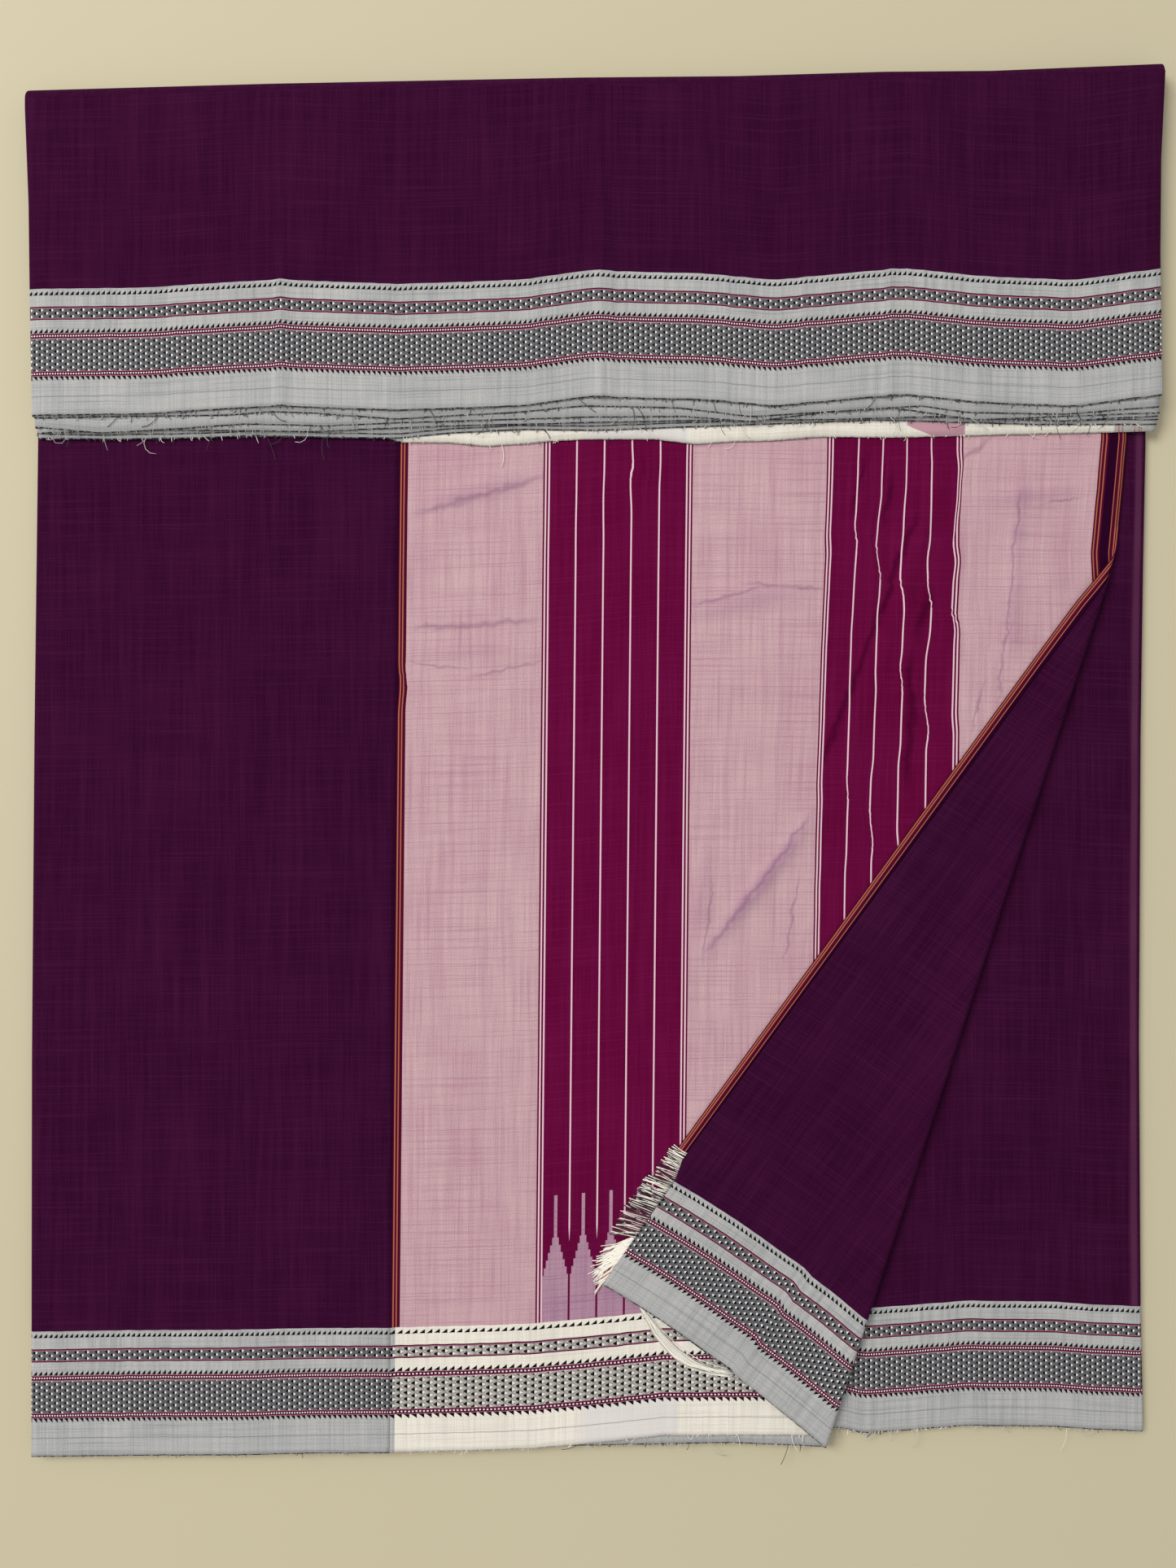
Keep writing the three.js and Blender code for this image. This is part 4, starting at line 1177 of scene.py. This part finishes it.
# %% [markdown]
# ## Loose yarns
#
# The cut end has a fringe of warp ends, in the colours of the border stripes, and a loose bundle of cream
# threads near it. A yarn is a thin tube swept along a bent line. All yarns of one kind are one mesh, with
# a material for each colour.

# %% Yarn maker
def yarn_material(name, colour):
    """Plain cotton yarn of one colour."""
    material = bpy.data.materials.new(name)
    material.use_nodes = True
    shader = material.node_tree.nodes["Principled BSDF"]
    shader.inputs["Base Color"].default_value = colour
    shader.inputs["Roughness"].default_value = 0.8
    shader.inputs["Sheen Weight"].default_value = 0.15
    return material


yarns = {
    "cream": yarn_material("cream yarn", cream),
    "maroon": yarn_material("maroon yarn", tone(110, 30, 66)),
    "black": yarn_material("black yarn", tone(26, 22, 28)),
    "orange": yarn_material("orange yarn", orange),
    "pale": yarn_material("pale yarn", tone(246, 242, 230)),
    "shade": yarn_material("shaded yarn", cream_pick),
    "grey": yarn_material("grey yarn", grey),
}
yarn_order = list(yarns)


def tube_points(path, radius, sides=5):
    """Rings round a path: path + radius (side cos turn + above sin turn), across its heading there."""
    heading = np.gradient(path, axis=0)
    heading /= np.linalg.norm(heading, axis=1, keepdims=True)
    side = np.cross(heading, [0, 0, 1.0])
    side /= np.maximum(np.linalg.norm(side, axis=1, keepdims=True), 1e-6)
    above = np.cross(side, heading)
    turns = np.arange(sides) * math.tau / sides
    ring = side[:, None] * np.cos(turns)[:, None] + above[:, None] * np.sin(turns)[:, None]
    return path[:, None] + ring * np.asarray(radius).reshape(-1, 1, 1)


def yarn_mesh(name, paths, radii, kinds, sides=5):
    """One mesh of closed tubes, each with the material of its kind."""
    points, faces, indices, total = [], [], [], 0
    for path, radius, kind in zip(paths, radii, kinds):
        rings = tube_points(path, np.full(len(path), radius), sides)
        count = len(path)
        number = np.arange(count * sides).reshape(count, sides) + total
        nearer, further = number[:-1], number[1:]
        corners = [nearer, np.roll(nearer, -1, 1), np.roll(further, -1, 1), further]
        quads = np.stack(corners, axis=-1).reshape(-1, 4)
        faces += quads.tolist() + [number[0, ::-1].tolist(), number[-1].tolist()]
        indices += [yarn_order.index(kind)] * (len(quads) + 2)
        points.append(rings.reshape(-1, 3))
        total += count * sides
    mesh = bpy.data.meshes.new(name)
    mesh.from_pydata((np.concatenate(points) + centre_shift) * MM, [], faces)
    for kind in yarn_order:
        mesh.materials.append(yarns[kind])
    mesh.polygons.foreach_set("material_index", np.array(indices, np.int32))
    mesh.polygons.foreach_set("use_smooth", np.ones(len(indices), bool))
    piece = bpy.data.objects.new(name, mesh)
    bpy.context.collection.objects.link(piece)
    work = bmesh.new()
    work.from_mesh(mesh)
    bmesh.ops.recalc_face_normals(work, faces=work.faces)
    work.to_mesh(mesh)
    work.free()
    print(name, len(paths), "yarns,", len(indices), "faces")
    return piece


def bending_path(start, heading, length, curl, height, droop, steps=8):
    """A path on the cloth: equal steps whose angle is heading + curl x share, sinking by droop x share."""
    share = np.linspace(0, 1, steps)
    angle = heading + curl * share
    step = length / (steps - 1)
    x = start[0] + np.concatenate([[0], np.cumsum(np.cos(angle[:-1]) * step)])
    y = start[1] + np.concatenate([[0], np.cumsum(np.sin(angle[:-1]) * step)])
    z = height - droop * share + 0.3 * np.sin(share * math.pi)
    return np.stack([x, y, z], axis=1)


# %% [markdown]
# The strands of the fringe keep the order of the border's stripes: dark ones in the lattice, maroon and
# cream ones between. The lower ones are longer and curl more. Each strand is drawn at random around its
# band's length and heading, as no two real ones lie alike.

# %% End fringe
cloth_top = heights["top"][0] + wall / 2
fringe_roots = np.array([(68.5, -281.7), (9.5, -369.7)])
fringe_bands = [
    # from, to (share of the end, from its upper corner), strands, length, heading in degrees, kinds in turn
    (0.00, 0.11, 26, 15, 152, ("cream", "cream", "black")),
    (0.11, 0.22, 26, 16, 155, ("black", "cream", "maroon")),
    (0.22, 0.42, 46, 18, 160, ("cream", "black")),
    (0.42, 0.58, 38, 19, 163, ("black", "cream", "black", "maroon")),
    (0.58, 0.67, 22, 18, 167, ("maroon", "cream", "black")),
    (0.64, 0.86, 58, 24, 200, ("cream",)),
    (0.84, 0.97, 26, 17, 216, ("cream", "cream", "cream", "orange")),
]
paths, radii, kinds = [], [], []
for low, high, strands, length, degrees, colours in fringe_bands:
    for strand in range(strands):
        share = low + (high - low) * (strand + rng.random()) / strands
        at = fringe_roots[0] + (fringe_roots[1] - fringe_roots[0]) * share
        heading = math.radians(degrees + rng.normal(0, 4))
        curl = rng.normal(0.05, 0.18) + (degrees > 180) * rng.uniform(-0.2, 0.9)
        path = bending_path(at, heading, length * rng.uniform(0.86, 1.1), curl, 10.35, 1.2)
        path[:, 2] = np.maximum(path[:, 2], cloth_top + 0.3) + 0.3 * rng.random()
        paths.append(path)
        radii.append(rng.uniform(0.24, 0.38))
        kinds.append(colours[strand % len(colours)])
end_fringe = yarn_mesh("end_yarns", paths, radii, kinds)
declare(end_fringe, ("end_fringe",))

# %% [markdown]
# Beside the fringe, where the weft is gone, a bundle of warp threads lies loose in a bow. Each thread bows
# a little less than the one before, so the bundle spreads in its middle.

# %% Loose warp bundle
bundle_count = 36
bundle = np.array([(31, -387), (37, -398), (43, -409), (55, -423), (67, -431), (80, -435), (97, -437)], float)
bundle_root, bundle_tip = bundle[0], bundle[-1]
paths, radii, kinds = [], [], []
for strand in range(bundle_count):
    share = np.linspace(0, 1, 22)
    knots = np.linspace(0, 1, len(bundle))
    bow = np.stack([np.interp(share, knots, bundle[:, 0]), np.interp(share, knots, bundle[:, 1])], axis=1)
    chord = bundle_root + (bundle_tip - bundle_root) * share[:, None]
    depth = 1.06 - 0.42 * (strand / bundle_count) ** 1.5 + rng.normal(0, 0.03)
    path = chord + (bow - chord) * depth + rng.normal(0, 0.5, 2) + np.outer(share, rng.normal(0, 1.2, 2))
    paths.append(np.column_stack([path, cloth_top + 0.2 + 0.8 * rng.random() + 0 * share]))
    radii.append(rng.uniform(0.17, 0.28))
    kinds.append("pale" if strand % 3 else "shade")
warp_threads = yarn_mesh("loose_warp_yarns", paths, radii, kinds)
declare(warp_threads, ("warp_threads",))

# %% [markdown]
# The selvedges are worn: short ends of yarn stand out all along them, most of them dark or grey, and a few
# long ones hang loose. Each starts just inside its edge and lies on whatever is under it.

# %% Frayed selvedges
frayed_edges = [
    # line, from x, to x, height, how many, kinds in turn
    (outer_wave, -392, 395, heights["outer"][1] - 0.5, 260, ("black", "grey", "black")),
    (own_selvedge("seventh", 31), -390, 395, heights["seventh"][1], 230, ("black", "grey", "black")),
    (own_selvedge("sixth", 32), -390, 395, heights["sixth"][1], 230, ("black", "black", "grey")),
    (own_selvedge("fifth", 33), -390, 390, heights["fifth"][1], 170, ("black", "grey")),
    (own_selvedge("end", 36), -390, 385, heights["end"][1], 230, ("black", "black", "cream")),
    (own_selvedge("top", 37), -140, 385, heights["top"][1], 40, ("cream", "cream", "black")),
    (top_wave, -395, -145, heights["top"][0], 60, ("grey", "black", "grey")),
    (top_wave, -135, 150, heights["top"][0], 40, ("cream", "cream", "cream", "grey")),
    (end_wave, -20, 150, heights["end"][0], 70, ("grey", "grey", "black")),
    (right_wave, 165, 388, heights["right"][0], 150, ("grey", "grey", "cream", "grey", "black")),
]
inside_edge, above_layer = 0.8, 0.25
paths, radii, kinds = [], [], []
for edge, low, high, height, count, colours in frayed_edges:
    for hair in range(count):
        x = rng.uniform(low, high)
        length = 1.8 + rng.exponential(0.8) + (rng.random() < 0.045) * rng.uniform(6, 16)
        heading = -math.pi / 2 + rng.normal(0, 0.5)
        start_at = (x, float(edge(np.array([x]))[0]) + inside_edge)
        curl = rng.normal(0, 1.3)
        paths.append(bending_path(start_at, heading, length, curl, height + above_layer, 0.5, steps=5))
        radii.append(rng.uniform(0.14, 0.28))
        kinds.append(colours[hair % len(colours)])
frays = yarn_mesh("selvedge_frays", paths, radii, kinds, sides=3)
declare(frays)

# %% [markdown]
# ## Floor, light and camera
#
# The photograph looks straight down at the saree on a pale floor, in soft daylight with little shadow. A
# big area light high on the left and a bright even sky give that. The camera's height is worked out from
# how much of the floor its picture spans.

# %% Floor
floor_mesh = bpy.data.meshes.new("floor")
floor_half = 4
floor_corners = [
    (-floor_half, -floor_half, 0), (floor_half, -floor_half, 0),
    (floor_half, floor_half, 0), (-floor_half, floor_half, 0)]
floor_mesh.from_pydata(floor_corners, [], [(0, 1, 2, 3)])
floor = bpy.data.objects.new("floor", floor_mesh)
bpy.context.collection.objects.link(floor)
floor_material = bpy.data.materials.new("pale floor")
floor_material.use_nodes = True
floor_shader = floor_material.node_tree.nodes["Principled BSDF"]
floor_shader.inputs["Base Color"].default_value = tone(197, 187, 157)
floor_shader.inputs["Roughness"].default_value = 0.7
floor_mesh.materials.append(floor_material)
floor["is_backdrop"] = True
print("floor", 2 * floor_half, "m wide")

# %% [markdown]
# The light comes from the upper left, as the shadows under the turned-down part show. The camera stands over
# the cloth's middle, at the height where its picture is as tall as the photograph's stretch of floor.

# %% Light and camera
scene = bpy.context.scene
scene.view_settings.view_transform = "Standard"
world = bpy.data.worlds.new("even sky")
world.use_nodes = True
world.node_tree.nodes["Background"].inputs["Color"].default_value = (1.0, 1.0, 1.0, 1.0)
world.node_tree.nodes["Background"].inputs["Strength"].default_value = 0.55
scene.world = world

lamp = bpy.data.lights.new("window", "AREA")
lamp.shape = "RECTANGLE"
lamp.size, lamp.size_y = 2.4, 2.4
lamp.energy = 205
lamp.color = (1.0, 0.985, 0.96)
window = bpy.data.objects.new("window", lamp)
window.location = (-2.9, 1.9, 4.0)
window.rotation_euler = (math.radians(-21), math.radians(-36), 0)
bpy.context.collection.objects.link(window)
window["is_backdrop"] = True

lens, sensor, picture_height = 28, 36, 1.114  # mm, mm, m
cloth_height = 0.008
picture_middle = (-0.0053, -0.0163)
eye = bpy.data.cameras.new("camera")
eye.lens = lens
eye.sensor_width = sensor
camera = bpy.data.objects.new("camera", eye)
camera.location = (*picture_middle, cloth_height + picture_height * lens / sensor)
bpy.context.collection.objects.link(camera)
scene.camera = camera
print("camera at", [round(value, 3) for value in camera.location])
